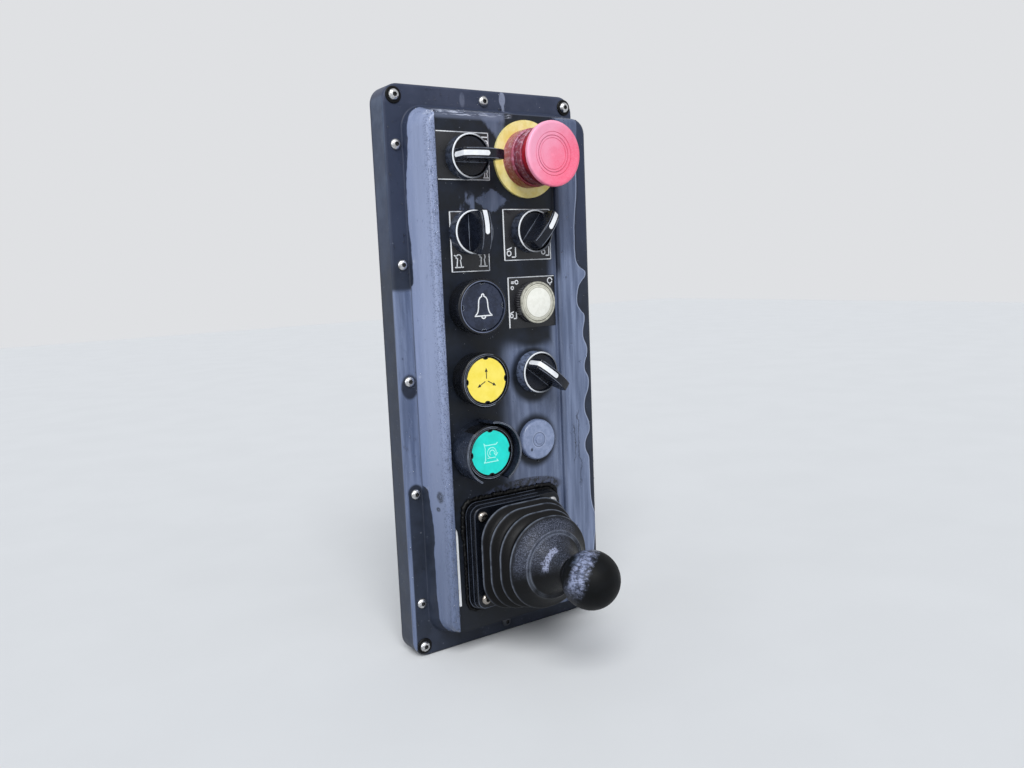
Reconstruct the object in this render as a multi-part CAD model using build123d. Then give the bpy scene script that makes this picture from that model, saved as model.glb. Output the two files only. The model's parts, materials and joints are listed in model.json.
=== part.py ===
from build123d import *
import os
from math import cos, radians, tan

os.makedirs("parts", exist_ok=True)

# Operator control panel for a working vehicle: a moulded housing with switches, buttons and a joystick.
# Lengths are in mm. The panel is drawn lying on its back: x runs across it, y up it and z out of it.
# write() stands it up, so that the front faces -Y, its mounting plane is Y = 0 and up is +Z.
# The origin is the centre of the four corner screws, on the mounting plane.

# Mounting screws
CORNER_SCREW_X = 70.5
CORNER_SCREW_Y = 192.0
SIDE_SCREW_PITCH = 80.0
SIDE_SCREW_COUNT = 5
SCREW_HOLE_R = 2.25
SCREW_POST_R = 5.5
SCREW_TO_EDGE = 8.0

# Housing: a flange with a skirt, and a raised console with sloping sides
WALL = 3.0
FLANGE_HEIGHT = 19.5
FLANGE_CORNER_R = 12.0
FLANGE_ROUNDING = 2.0
LEDGE_LEFT = 13.0
LEDGE_RIGHT = 4.0
LEDGE_END = 14.0
CONSOLE_RISE = 25.0
CONSOLE_CORNER_R = 16.0
CONSOLE_FRONT_CORNER_R = 10.0
CONSOLE_ROUNDING = 3.5
DRAFT = 15.0
DRAFT_RIGHT = 8.0
JUNCTION_ROUNDING = 1.0
ON_OUTLINE = 0.01

# Recessed control face, a channel that runs out at both ends of the console
FACE_DEPTH = 3.0
FACE_TO_LEFT_COLUMN = 22.7
FACE_TO_RIGHT_COLUMN = 23.0
FACE_ROUNDING = 1.0
RIB_THICKNESS = 2.0
RIB_DEPTH = 9.0

# Grid of controls: two columns and five rows, with the joystick below
LEFT_COLUMN_X = -31.0
COLUMN_PITCH = 50.0
TOP_ROW_Y = 150.0
ROW_PITCH = 50.0
LAST_ROW_TO_JOYSTICK = 75.9

# What all the round controls share
BARREL_R = 11.0
BARREL_BORE_R = 8.5
BARREL_LENGTH = 20.0
PANEL_HOLE_CLEARANCE = 0.25
STEM_CLEARANCE = 0.1
STEM_END_GAP = 1.0
POCKET_FLOOR = 2.0
LOCKNUT_R = 14.0
LOCKNUT_THICKNESS = 6.0
LOCKNUT_CLEARANCE = 0.1
LOCKNUT_NOTCHES = 6
LOCKNUT_NOTCH_WIDTH = 3.5
LOCKNUT_NOTCH_DEPTH = 1.5
CONTACTS_WIDTH = 28.0
CONTACTS_LENGTH = 34.0
CONTACTS_HEIGHT = 16.0
CONTACTS_ROUNDING = 1.5
TERMINAL_SLOT_WIDTH = 6.0
TERMINAL_SLOT_DEPTH = 5.0
TERMINAL_SLOT_LENGTH = 4.0

# Rotary selectors
BEZEL_R = 14.85
BEZEL_HEIGHT = 9.6
BEZEL_TAPER = 0.2
BEZEL_ROUNDING = 0.5
KNOB_R = 13.3
KNOB_CLEARANCE = 0.3
KNOB_SINK = 1.1
HANDLE_BACK = 13.6
HANDLE_WIDTH = 7.5
HANDLE_TIP_WIDTH = 6.4
HANDLE_OVER_BEZEL = 0.7
HANDLE_BACK_HEIGHT = 22.8
HANDLE_TOP_HEIGHT = 25.5
HANDLE_TIP_HEIGHT = 21.5
HANDLE_TIP_DEPTH = 5.0
HANDLE_ROUNDING = 1.2
HANDLE_EDGE_ROUNDING = 0.8

# Large push-buttons with a deep black collar
COLLAR_BASE_R = 17.8
COLLAR_FRONT_R = 19.2
COLLAR_HEIGHT = 16.0
COLLAR_ROUNDING = 1.2
CAP_R = 16.4
CAP_CLEARANCE = 0.3
CAP_SINK = 0.5
CAP_THICKNESS = 8.0
CAP_ROUNDING = 0.8
CAP_NOTCH_WIDTH = 2.6
CAP_NOTCH_DEPTH = 1.8
CAP_NOTCHES = 4
BUTTON_TRAVEL = 3.0

# Small push-button with a domed cap
SMALL_CAP_R = 13.0
SMALL_CAP_RISE = 1.0
SMALL_CAP_THICKNESS = 3.4
SMALL_CAP_ROUNDING = 0.6

# Guard round one large button: a plate with two arc walls
GUARD_R = 21.5
GUARD_FRONT_R = 22.4
GUARD_PLATE = 1.5
GUARD_WALL = 1.8
GUARD_HEIGHT = 22.0
# start and end of each wall, in degrees counterclockwise from the right
GUARD_ARCS = ((-60.0, 90.0), (135.0, 240.0))

# Emergency stop
STOP_RING_R = 26.7
STOP_RING_THICKNESS = 2.0
STOP_RING_TRIM_GAP = 1.2
STOP_COLLAR_R = 20.0
STOP_COLLAR_TOP = 13.0
STOP_SKIRT_R = 18.2
STOP_SKIRT_CLEARANCE = 0.4
STOP_SKIRT_BOTTOM = 8.6
STOP_LIP_R = 19.6
STOP_LIP_BOTTOM = 17.5
STOP_LIP_TOP = 22.4
STOP_LIP_ROUNDING = 0.6
STOP_WAIST_R = 18.4
STOP_NECK_R = 19.0
STOP_NECK_BOTTOM = 23.4
STOP_NECK_TOP = 29.0
STOP_HEAD_R = 21.8
STOP_HEAD_BOTTOM = 31.4
STOP_HEAD_TOP = 34.6
STOP_HEAD_ROUNDING = 1.2
STOP_DISH_R = 19.8
STOP_DISH_DEPTH = 2.2
STOP_GROOVE_RADII = (10.2, 12.0, 14.2)
STOP_GROOVE_WIDTH = 0.5
STOP_GROOVE_DEPTH = 0.35
STOP_TRAVEL = 4.0

# Blanking plug
PLUG_R = 14.85
PLUG_HEIGHT = 4.0
PLUG_ROUNDING = 1.8
PLUG_BARREL_LENGTH = 12.0
PLUG_CENTRE_R = 3.0
PLUG_CENTRE_HEIGHT = 0.8

# Joystick: gasket and frame in front of the panel, mechanism behind it
STICK_HOLE_R = 25.0
GASKET_THICKNESS = 2.0
GASKET_OVER_FRAME = 2.0
JOY_FRAME_HEIGHT = 8.2
JOY_FRAME_WIDTH = 6.3
JOY_FRAME_CORNER_R = 7.0
JOY_FRAME_ROUNDING = 1.0
JOY_FRAME_STEP = 0.9
JOY_SCREW_TO_EDGE = 7.0
JOY_SCREW_HOLE_R = 2.1
BELLOWS_BASE_HALF = 30.5
BELLOWS_BASE_CORNER_R = 18.0
BELLOWS_FIT = 0.2
BELLOWS_WALL = 2.0
# folds: height over the frame, how far the ridge stands out over the base, share of it that is corner radius
BELLOWS_RIDGES = (
    (8.8, 6.9, 0.58),
    (16.8, 5.4, 0.70),
    (25.4, 3.1, 0.82),
    (35.2, 1.7, 0.93),
)
BELLOWS_FOLD = 3.4
BELLOWS_STEP_R = 21.6
BELLOWS_STEP_HEIGHT = 43.0
BELLOWS_NECK_R = 10.8
BELLOWS_HEIGHT = 60.0
SLEEVE_R = 7.0
SLEEVE_CLEARANCE = 0.05
SLEEVE_LENGTH = 12.0
STICK_R = 5.0
BALL_R = 19.2
BALL_GAP = 2.0
BALL_COLLAR_R = 9.5
BALL_COLLAR_GAP = 1.0
PIVOT_R = 9.0
PIVOT_DEPTH = 15.0
PIVOT_CLEARANCE = 0.05
PIVOT_CONE_ANGLE = 38.0
PIVOT_PIN_R = 2.5
PIVOT_PIN_REACH = 15.0
PIVOT_PIN_END_GAP = 1.0
MECHANISM_PLATE_OVER_SCREWS = 4.0
MECHANISM_PLATE_THICKNESS = 3.0
MECHANISM_HALF = 26.0
MECHANISM_DEPTH = 37.0
MECHANISM_ROUNDING = 3.0

# Sizes worked out from those above
FLANGE_HALF_X = CORNER_SCREW_X + SCREW_TO_EDGE
FLANGE_HALF_Y = CORNER_SCREW_Y + SCREW_TO_EDGE
CONSOLE_HEIGHT = FLANGE_HEIGHT + CONSOLE_RISE
FACE_HEIGHT = CONSOLE_HEIGHT - FACE_DEPTH
COLUMN_X = {"left": LEFT_COLUMN_X, "right": LEFT_COLUMN_X + COLUMN_PITCH}
ROW_NAMES = ("first", "second", "third", "fourth", "fifth")
ROW_Y = {name: TOP_ROW_Y - n * ROW_PITCH for n, name in enumerate(ROW_NAMES)}
FACE_LEFT = COLUMN_X["left"] - FACE_TO_LEFT_COLUMN
FACE_RIGHT = COLUMN_X["right"] + FACE_TO_RIGHT_COLUMN
JOYSTICK_X = LEFT_COLUMN_X + COLUMN_PITCH / 2
JOYSTICK_Y = ROW_Y["fifth"] - LAST_ROW_TO_JOYSTICK
JOYSTICK_PLACE = Pos(JOYSTICK_X, JOYSTICK_Y, FACE_HEIGHT)
STEM_R = BARREL_BORE_R - STEM_CLEARANCE
STEM_BOTTOM = -BARREL_LENGTH + STEM_END_GAP
BELLOWS_BASE = GASKET_THICKNESS + JOY_FRAME_HEIGHT
BELLOWS_TOP = BELLOWS_BASE + BELLOWS_HEIGHT
BALL_CENTRE = BELLOWS_TOP + BALL_GAP + BALL_R
JOY_FRAME_HALF = BELLOWS_BASE_HALF + BELLOWS_FIT + JOY_FRAME_WIDTH
JOY_SCREW = JOY_FRAME_HALF - JOY_SCREW_TO_EDGE
MECHANISM_PLATE_HALF = JOY_SCREW + MECHANISM_PLATE_OVER_SCREWS

# Selectors: name, column, row, how far the handle's long end reaches from the axis,
# and where it points, in degrees clockwise from up
SELECTORS = (
    ("selector_1_left", "left", "first", 18.4, 90.0),
    ("selector_2_left", "left", "second", 15.2, 180.0),
    ("selector_2_right", "right", "second", 15.2, 40.0),
    ("selector_4_right", "right", "fourth", 18.4, 128.0),
)
# Large push-buttons: name, column, row, height of what lies under the collar
LARGE_BUTTONS = (
    ("bell_button", "left", "third", 0.0),
    ("yellow_button", "left", "fourth", 0.0),
    ("cyan_button", "left", "fifth", GUARD_PLATE),
)
SMALL_BUTTON = ("white_button", "right", "third")
STOP = ("stop", "right", "first")
PLUG = ("plug", "right", "fifth")


def profile(rows):
    """Closed outline from rows of x, y and the rounding of that corner."""
    outline = make_face(Polyline(*[(x, y) for x, y, _ in rows], close=True))
    for x, y, rounding in rows:
        if rounding:
            outline = fillet(outline.vertices().sort_by_distance((x, y, 0))[0], rounding)
    return outline


def turned(rows):
    """Solid of revolution about z from rows of radius, height and rounding."""
    return revolve(Plane.XZ * profile(rows), Axis.Z)


def rounded_plate(half_x, half_y, corner_r, bottom, top):
    return Pos(0, 0, bottom) * extrude(RectangleRounded(2 * half_x, 2 * half_y, corner_r), top - bottom)


def tube(outer_r, inner_r, bottom, top):
    return Pos(0, 0, bottom) * extrude(Circle(outer_r) - Circle(inner_r), top - bottom)


def control_place(column, row):
    """Place of a control: its axis on the grid, with z = 0 on the control face."""
    return Pos(COLUMN_X[column], ROW_Y[row], FACE_HEIGHT)


def write(name, shape, place=Pos(0, 0, 0)):
    export_step(Rot(90, 0, 0) * place * shape, f"parts/{name}.step")


# Housing


def console_outline(height, inset):
    """Outline of the console at a height: it narrows towards the front by the draft of each side."""
    rise = height - FLANGE_HEIGHT
    left = -FLANGE_HALF_X + LEDGE_LEFT + rise * tan(radians(DRAFT)) + inset
    right = FLANGE_HALF_X - LEDGE_RIGHT - rise * tan(radians(DRAFT_RIGHT)) - inset
    half_y = FLANGE_HALF_Y - LEDGE_END - rise * tan(radians(DRAFT)) - inset
    corner_r = CONSOLE_CORNER_R + (CONSOLE_FRONT_CORNER_R - CONSOLE_CORNER_R) * rise / CONSOLE_RISE
    outline = RectangleRounded(right - left, 2 * half_y, corner_r - inset)
    return Pos((left + right) / 2, 0, height) * outline


def console_form(bottom, top, inset):
    return loft([console_outline(bottom, inset), console_outline(top, inset)], ruled=True)


def face_channel():
    """Cutter for the recessed face, with its rounded edges drawn in its section."""
    over = CONSOLE_HEIGHT + FACE_DEPTH
    side = 3 * FACE_ROUNDING
    section = profile(
        (
            (FACE_LEFT - side, over, 0),
            (FACE_LEFT - side, CONSOLE_HEIGHT, 0),
            (FACE_LEFT, CONSOLE_HEIGHT, FACE_ROUNDING),
            (FACE_LEFT, FACE_HEIGHT, FACE_ROUNDING),
            (FACE_RIGHT, FACE_HEIGHT, FACE_ROUNDING),
            (FACE_RIGHT, CONSOLE_HEIGHT, FACE_ROUNDING),
            (FACE_RIGHT + side, CONSOLE_HEIGHT, 0),
            (FACE_RIGHT + side, over, 0),
        )
    )
    return extrude(Plane.XZ * section, FLANGE_HALF_Y, both=True)


def screw_points():
    """Mounting screws: four corners, the middle of both ends and a column on the wide left ledge."""
    ends = [(x, y) for y in (CORNER_SCREW_Y, -CORNER_SCREW_Y) for x in (-CORNER_SCREW_X, 0, CORNER_SCREW_X)]
    middle = (SIDE_SCREW_COUNT - 1) / 2
    sides = [(-CORNER_SCREW_X, (n - middle) * SIDE_SCREW_PITCH) for n in range(SIDE_SCREW_COUNT)]
    return ends + sides


def joystick_screw_points():
    return [(x, y) for x in (-JOY_SCREW, JOY_SCREW) for y in (-JOY_SCREW, JOY_SCREW)]


def rib_heights():
    """Ribs lie half way between the rows of contact blocks, and between the last and the joystick."""
    rows = list(ROW_Y.values())
    between_rows = [(upper + lower) / 2 for upper, lower in zip(rows, rows[1:])]
    blocks_end = rows[-1] - CONTACTS_LENGTH / 2
    mechanism_start = JOYSTICK_Y + MECHANISM_PLATE_HALF
    return between_rows + [(blocks_end + mechanism_start) / 2]


def panel_shell():
    flange = rounded_plate(FLANGE_HALF_X, FLANGE_HALF_Y, FLANGE_CORNER_R, 0, FLANGE_HEIGHT)
    flange = fillet(flange.faces().sort_by(Axis.Z)[-1].edges(), FLANGE_ROUNDING)
    console = console_form(FLANGE_HEIGHT, CONSOLE_HEIGHT, 0)
    console = fillet(console.faces().sort_by(Axis.Z)[-1].edges(), CONSOLE_ROUNDING)
    shell = flange + console
    base = console_outline(FLANGE_HEIGHT, 0).wire()
    foot = shell.edges().filter_by(lambda edge: base.distance_to(edge @ 0) + base.distance_to(edge @ 1) < ON_OUTLINE)
    foot = foot.filter_by(lambda edge: base.distance_to(edge @ 0.5) < ON_OUTLINE)
    shell = fillet(foot, JUNCTION_ROUNDING)
    shell -= face_channel()

    slope_wall = WALL / cos(radians(DRAFT))
    behind_face = FACE_HEIGHT - WALL
    behind_front = CONSOLE_HEIGHT - WALL
    cavity_start = FLANGE_HEIGHT - WALL
    shell -= rounded_plate(
        FLANGE_HALF_X - WALL, FLANGE_HALF_Y - WALL, FLANGE_CORNER_R - WALL, 0, cavity_start
    )
    shell -= console_form(cavity_start, behind_face, slope_wall)
    shoulder = console_form(behind_face, behind_front, slope_wall)
    shoulder_left = FACE_RIGHT + WALL
    shell -= shoulder & Pos(shoulder_left + FLANGE_HALF_X / 2, 0, behind_face) * Box(
        FLANGE_HALF_X, 2 * FLANGE_HALF_Y, 2 * CONSOLE_RISE
    )

    rib_height = RIB_DEPTH + WALL / 2
    rib = Pos(0, 0, behind_face - RIB_DEPTH + rib_height / 2) * Box(
        2 * FLANGE_HALF_X, RIB_THICKNESS, rib_height
    )
    inside_walls = console_form(cavity_start, behind_face + WALL / 2, slope_wall / 2)
    for y in rib_heights():
        shell += inside_walls & Pos(0, y, 0) * rib

    for x, y in screw_points():
        shell += Pos(x, y, 0) * Cylinder(
            SCREW_POST_R, cavity_start + WALL / 2, align=(Align.CENTER, Align.CENTER, Align.MIN)
        )
    for x, y in screw_points():
        shell -= Pos(x, y, 0) * Cylinder(SCREW_HOLE_R, 4 * FLANGE_HEIGHT)

    device_hole = Cylinder(BARREL_R + PANEL_HOLE_CLEARANCE, 4 * WALL)
    for _, column, row, *_ in SELECTORS + LARGE_BUTTONS:
        shell -= control_place(column, row) * device_hole
    for _, column, row in (SMALL_BUTTON, STOP, PLUG):
        shell -= control_place(column, row) * device_hole
    shell -= JOYSTICK_PLACE * Cylinder(STICK_HOLE_R, 4 * WALL)
    for x, y in joystick_screw_points():
        shell -= JOYSTICK_PLACE * Pos(x, y, 0) * Cylinder(JOY_SCREW_HOLE_R, 4 * WALL)
    return shell


# Pieces that all the round controls share


def locknut():
    top = -WALL
    ring = tube(LOCKNUT_R, BARREL_R + LOCKNUT_CLEARANCE, top - LOCKNUT_THICKNESS, top)
    notch = Pos(LOCKNUT_R, 0, top - LOCKNUT_THICKNESS / 2) * Box(
        2 * LOCKNUT_NOTCH_DEPTH, LOCKNUT_NOTCH_WIDTH, 2 * LOCKNUT_THICKNESS
    )
    for n in range(LOCKNUT_NOTCHES):
        ring -= Rot(0, 0, n * 360 / LOCKNUT_NOTCHES) * notch
    return ring


def contacts():
    """Contact block clipped to the end of the barrel, with wire slots at both ends."""
    top = -BARREL_LENGTH
    block = Pos(0, 0, top - CONTACTS_HEIGHT / 2) * Box(CONTACTS_WIDTH, CONTACTS_LENGTH, CONTACTS_HEIGHT)
    block = fillet(block.edges().filter_by(Axis.Z), CONTACTS_ROUNDING)
    for x in (-CONTACTS_WIDTH / 4, CONTACTS_WIDTH / 4):
        for y in (-CONTACTS_LENGTH / 2, CONTACTS_LENGTH / 2):
            block -= Pos(x, y, top - CONTACTS_HEIGHT) * Box(
                TERMINAL_SLOT_WIDTH, 2 * TERMINAL_SLOT_LENGTH, 2 * TERMINAL_SLOT_DEPTH
            )
    return block


def write_back(name, place):
    write(f"{name}_locknut", locknut(), place)
    write(f"{name}_contacts", contacts(), place)


# Rotary selectors


def selector_bezel():
    pocket_r = KNOB_R + KNOB_CLEARANCE
    return turned(
        (
            (BARREL_BORE_R, -BARREL_LENGTH, 0),
            (BARREL_R, -BARREL_LENGTH, 0),
            (BARREL_R, 0, 0),
            (BEZEL_R, 0, 0),
            (BEZEL_R - BEZEL_TAPER, BEZEL_HEIGHT, BEZEL_ROUNDING),
            (pocket_r, BEZEL_HEIGHT, 0),
            (pocket_r, POCKET_FLOOR, 0),
            (BARREL_BORE_R, POCKET_FLOOR, 0),
        )
    )


def handle(reach):
    """Handle of the knob, from its side outline and its plan, with its long end towards +y."""
    root = KNOB_R - HANDLE_EDGE_ROUNDING
    surface = BEZEL_HEIGHT - KNOB_SINK
    over_bezel = BEZEL_HEIGHT + HANDLE_OVER_BEZEL
    tip_bottom = HANDLE_TIP_HEIGHT - HANDLE_TIP_DEPTH
    top = ThreePointArc((-HANDLE_BACK, HANDLE_BACK_HEIGHT), (0, HANDLE_TOP_HEIGHT), (reach, HANDLE_TIP_HEIGHT))
    rest = Polyline(
        (reach, HANDLE_TIP_HEIGHT),
        (reach, tip_bottom),
        (root, over_bezel),
        (root, surface - HANDLE_EDGE_ROUNDING),
        (-root, surface - HANDLE_EDGE_ROUNDING),
        (-root, over_bezel),
        (-HANDLE_BACK, over_bezel),
        (-HANDLE_BACK, HANDLE_BACK_HEIGHT),
    )
    side = make_face([top, rest])
    corners = side.vertices().sort_by(Axis.Y)[-2:]
    side = fillet(corners, HANDLE_ROUNDING)
    half = HANDLE_WIDTH / 2
    tip_half = HANDLE_TIP_WIDTH / 2
    plan = profile(
        (
            (-half, -HANDLE_BACK, 0),
            (half, -HANDLE_BACK, 0),
            (half, 0, 0),
            (tip_half, reach, 0),
            (-tip_half, reach, 0),
            (-half, 0, 0),
        )
    )
    solid = extrude(Plane.YZ * side, HANDLE_WIDTH, both=True) & extrude(plan, 2 * HANDLE_TOP_HEIGHT)
    top_edges = solid.edges().filter_by(lambda edge: (edge @ 0.5).Z > HANDLE_TIP_HEIGHT - HANDLE_TIP_DEPTH)
    top_edges = top_edges.filter_by(lambda edge: abs((edge @ 0).Z - (edge @ 1).Z) < HANDLE_TIP_DEPTH)
    along = top_edges.filter_by(lambda edge: abs((edge @ 0).Y - (edge @ 1).Y) > HANDLE_ROUNDING)
    return fillet(along, HANDLE_EDGE_ROUNDING)


def selector_knob(reach):
    bottom = POCKET_FLOOR + KNOB_CLEARANCE
    top = BEZEL_HEIGHT - KNOB_SINK
    disc = turned(
        (
            (0, STEM_BOTTOM, 0),
            (STEM_R, STEM_BOTTOM, 0),
            (STEM_R, bottom, 0),
            (KNOB_R, bottom, 0),
            (KNOB_R, top, HANDLE_EDGE_ROUNDING),
            (0, top, 0),
        )
    )
    return disc + handle(reach)


# Push-buttons


def large_bezel(lift):
    """Deep collar with its barrel, standing on the panel or on a plate as thick as lift."""
    pocket_r = CAP_R + CAP_CLEARANCE
    return turned(
        (
            (BARREL_BORE_R, -BARREL_LENGTH, 0),
            (BARREL_R, -BARREL_LENGTH, 0),
            (BARREL_R, lift, 0),
            (COLLAR_BASE_R, lift, 0),
            (COLLAR_FRONT_R, lift + COLLAR_HEIGHT, COLLAR_ROUNDING),
            (pocket_r, lift + COLLAR_HEIGHT, 0),
            (pocket_r, lift + POCKET_FLOOR, 0),
            (BARREL_BORE_R, lift + POCKET_FLOOR, 0),
        )
    )


def large_cap(lift):
    """Flat cap with small notches in its rim."""
    top = lift + COLLAR_HEIGHT - CAP_SINK
    bottom = top - CAP_THICKNESS
    cap = turned(
        (
            (0, STEM_BOTTOM + BUTTON_TRAVEL, 0),
            (STEM_R, STEM_BOTTOM + BUTTON_TRAVEL, 0),
            (STEM_R, bottom, 0),
            (CAP_R, bottom, 0),
            (CAP_R, top, CAP_ROUNDING),
            (0, top, 0),
        )
    )
    notch = Pos(CAP_R, 0, top) * Box(2 * CAP_NOTCH_DEPTH, CAP_NOTCH_WIDTH, 2 * CAP_NOTCH_DEPTH)
    for n in range(CAP_NOTCHES):
        cap -= Rot(0, 0, n * 360 / CAP_NOTCHES) * notch
    return cap


def small_bezel():
    pocket_r = SMALL_CAP_R + CAP_CLEARANCE
    return turned(
        (
            (BARREL_BORE_R, -BARREL_LENGTH, 0),
            (BARREL_R, -BARREL_LENGTH, 0),
            (BARREL_R, 0, 0),
            (BEZEL_R, 0, 0),
            (BEZEL_R - BEZEL_TAPER / 2, BEZEL_HEIGHT, BEZEL_ROUNDING),
            (pocket_r, BEZEL_HEIGHT, 0),
            (pocket_r, POCKET_FLOOR, 0),
            (BARREL_BORE_R, POCKET_FLOOR, 0),
        )
    )


def small_cap():
    """Cap with a shallow dome that stands just out of its bezel."""
    rim = BEZEL_HEIGHT
    bottom = rim - SMALL_CAP_THICKNESS
    body = turned(
        (
            (0, STEM_BOTTOM + BUTTON_TRAVEL, 0),
            (STEM_R, STEM_BOTTOM + BUTTON_TRAVEL, 0),
            (STEM_R, bottom, 0),
            (SMALL_CAP_R, bottom, 0),
            (SMALL_CAP_R, rim, SMALL_CAP_ROUNDING),
            (0, rim, 0),
        )
    )
    dome_r = SMALL_CAP_R - SMALL_CAP_ROUNDING
    crown = ThreePointArc(
        (dome_r, rim), (dome_r / 2, rim + 0.75 * SMALL_CAP_RISE), (0, rim + SMALL_CAP_RISE)
    )
    below = Polyline((0, rim + SMALL_CAP_RISE), (0, bottom), (dome_r, bottom), (dome_r, rim))
    return body + revolve(Plane.XZ * make_face([crown, below]), Axis.Z)


def guard():
    """Plate under the collar, with two arc walls that keep a hand off the button."""
    inner_r = GUARD_R - GUARD_WALL
    inner_front_r = GUARD_FRONT_R - GUARD_WALL
    ring = turned(
        (
            (inner_r, 0, 0),
            (GUARD_R, 0, 0),
            (GUARD_FRONT_R, GUARD_HEIGHT, GUARD_WALL / 4),
            (inner_front_r, GUARD_HEIGHT, GUARD_WALL / 4),
        )
    )
    shape = tube(GUARD_R - GUARD_WALL / 2, BARREL_R + PANEL_HOLE_CLEARANCE, 0, GUARD_PLATE)
    for start, end in GUARD_ARCS:
        wedge = make_face(
            [
                Line((0, 0), PolarLine((0, 0), 2 * GUARD_R, start) @ 1),
                CenterArc((0, 0), 2 * GUARD_R, start, end - start),
                Line(PolarLine((0, 0), 2 * GUARD_R, end) @ 1, (0, 0)),
            ]
        )
        shape += ring & extrude(wedge, 2 * GUARD_HEIGHT)
    return shape


# Emergency stop


def stop_ring():
    """Legend ring, trimmed straight where the shoulder of the housing stands in its way."""
    ring = tube(STOP_RING_R, BARREL_R + PANEL_HOLE_CLEARANCE, 0, STOP_RING_THICKNESS)
    trim = FACE_TO_RIGHT_COLUMN - STOP_RING_TRIM_GAP
    return ring - Pos(trim + STOP_RING_R, 0, 0) * Box(
        2 * STOP_RING_R, 2 * STOP_RING_R, 4 * STOP_RING_THICKNESS
    )


def stop_collar():
    pocket_r = STOP_SKIRT_R + STOP_SKIRT_CLEARANCE
    floor = STOP_RING_THICKNESS + POCKET_FLOOR
    return turned(
        (
            (BARREL_BORE_R, -BARREL_LENGTH, 0),
            (BARREL_R, -BARREL_LENGTH, 0),
            (BARREL_R, STOP_RING_THICKNESS, 0),
            (STOP_COLLAR_R, STOP_RING_THICKNESS, 0),
            (STOP_COLLAR_R, STOP_COLLAR_TOP, COLLAR_ROUNDING),
            (pocket_r, STOP_COLLAR_TOP, 0),
            (pocket_r, floor, 0),
            (BARREL_BORE_R, floor, 0),
        )
    )


def stop_head():
    """Mushroom head: skirt, lip, neck and a dished head with rings turned in its face."""
    head = turned(
        (
            (0, STEM_BOTTOM + STOP_TRAVEL, 0),
            (STEM_R, STEM_BOTTOM + STOP_TRAVEL, 0),
            (STEM_R, STOP_SKIRT_BOTTOM, 0),
            (STOP_SKIRT_R, STOP_SKIRT_BOTTOM, 0),
            (STOP_SKIRT_R, STOP_LIP_BOTTOM, 0),
            (STOP_LIP_R, STOP_LIP_BOTTOM, STOP_LIP_ROUNDING),
            (STOP_LIP_R, STOP_LIP_TOP, STOP_LIP_ROUNDING),
            (STOP_WAIST_R, STOP_LIP_TOP, 0),
            (STOP_WAIST_R, STOP_NECK_BOTTOM, 0),
            (STOP_NECK_R, STOP_NECK_BOTTOM, 0),
            (STOP_NECK_R, STOP_NECK_TOP, 0),
            (STOP_HEAD_R, STOP_HEAD_BOTTOM, STOP_HEAD_ROUNDING),
            (STOP_HEAD_R, STOP_HEAD_TOP, STOP_HEAD_ROUNDING),
            (0, STOP_HEAD_TOP, 0),
        )
    )
    dish_ball_r = (STOP_DISH_R**2 + STOP_DISH_DEPTH**2) / (2 * STOP_DISH_DEPTH)
    dish_floor = STOP_HEAD_TOP - STOP_DISH_DEPTH
    head -= Pos(0, 0, dish_floor + dish_ball_r) * Sphere(dish_ball_r)
    for r in STOP_GROOVE_RADII:
        surface = dish_floor + r**2 / (2 * dish_ball_r)
        head -= tube(r + STOP_GROOVE_WIDTH, r, surface - STOP_GROOVE_DEPTH, STOP_HEAD_TOP)
    return head


# Blanking plug


def plug():
    return turned(
        (
            (0, -PLUG_BARREL_LENGTH, 0),
            (BARREL_R, -PLUG_BARREL_LENGTH, 0),
            (BARREL_R, 0, 0),
            (PLUG_R, 0, 0),
            (PLUG_R, PLUG_HEIGHT, PLUG_ROUNDING),
            (PLUG_CENTRE_R, PLUG_HEIGHT, 0),
            (PLUG_CENTRE_R, PLUG_HEIGHT + PLUG_CENTRE_HEIGHT, 0),
            (0, PLUG_HEIGHT + PLUG_CENTRE_HEIGHT, 0),
        )
    )


# Joystick


def joystick_screw_holes():
    hole = Cylinder(JOY_SCREW_HOLE_R, 4 * MECHANISM_DEPTH)
    return [Pos(x, y, 0) * hole for x, y in joystick_screw_points()]


def joystick_gasket():
    half = JOY_FRAME_HALF + GASKET_OVER_FRAME
    plate = rounded_plate(half, half, JOY_FRAME_CORNER_R + GASKET_OVER_FRAME, 0, GASKET_THICKNESS)
    return plate - Cylinder(STICK_HOLE_R, 4 * GASKET_THICKNESS) - joystick_screw_holes()


def joystick_frame():
    """Frame that clamps the foot of the bellows, with a stepped outer edge."""
    middle = GASKET_THICKNESS + JOY_FRAME_HEIGHT / 2
    base_half = JOY_FRAME_HALF + JOY_FRAME_STEP
    base_corner_r = JOY_FRAME_CORNER_R + JOY_FRAME_STEP
    plate = rounded_plate(JOY_FRAME_HALF, JOY_FRAME_HALF, JOY_FRAME_CORNER_R, GASKET_THICKNESS, BELLOWS_BASE)
    plate = fillet(plate.faces().sort_by(Axis.Z)[-1].edges(), JOY_FRAME_ROUNDING)
    plate += rounded_plate(base_half, base_half, base_corner_r, GASKET_THICKNESS, middle)
    opening = BELLOWS_BASE_HALF + BELLOWS_FIT
    opening_corner_r = BELLOWS_BASE_CORNER_R + BELLOWS_FIT
    plate -= rounded_plate(opening, opening, opening_corner_r, 0, 2 * BELLOWS_BASE)
    return plate - joystick_screw_holes()


def bellows_section(half, share, height):
    return Pos(0, 0, height) * RectangleRounded(2 * half, 2 * half, share * half)


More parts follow.
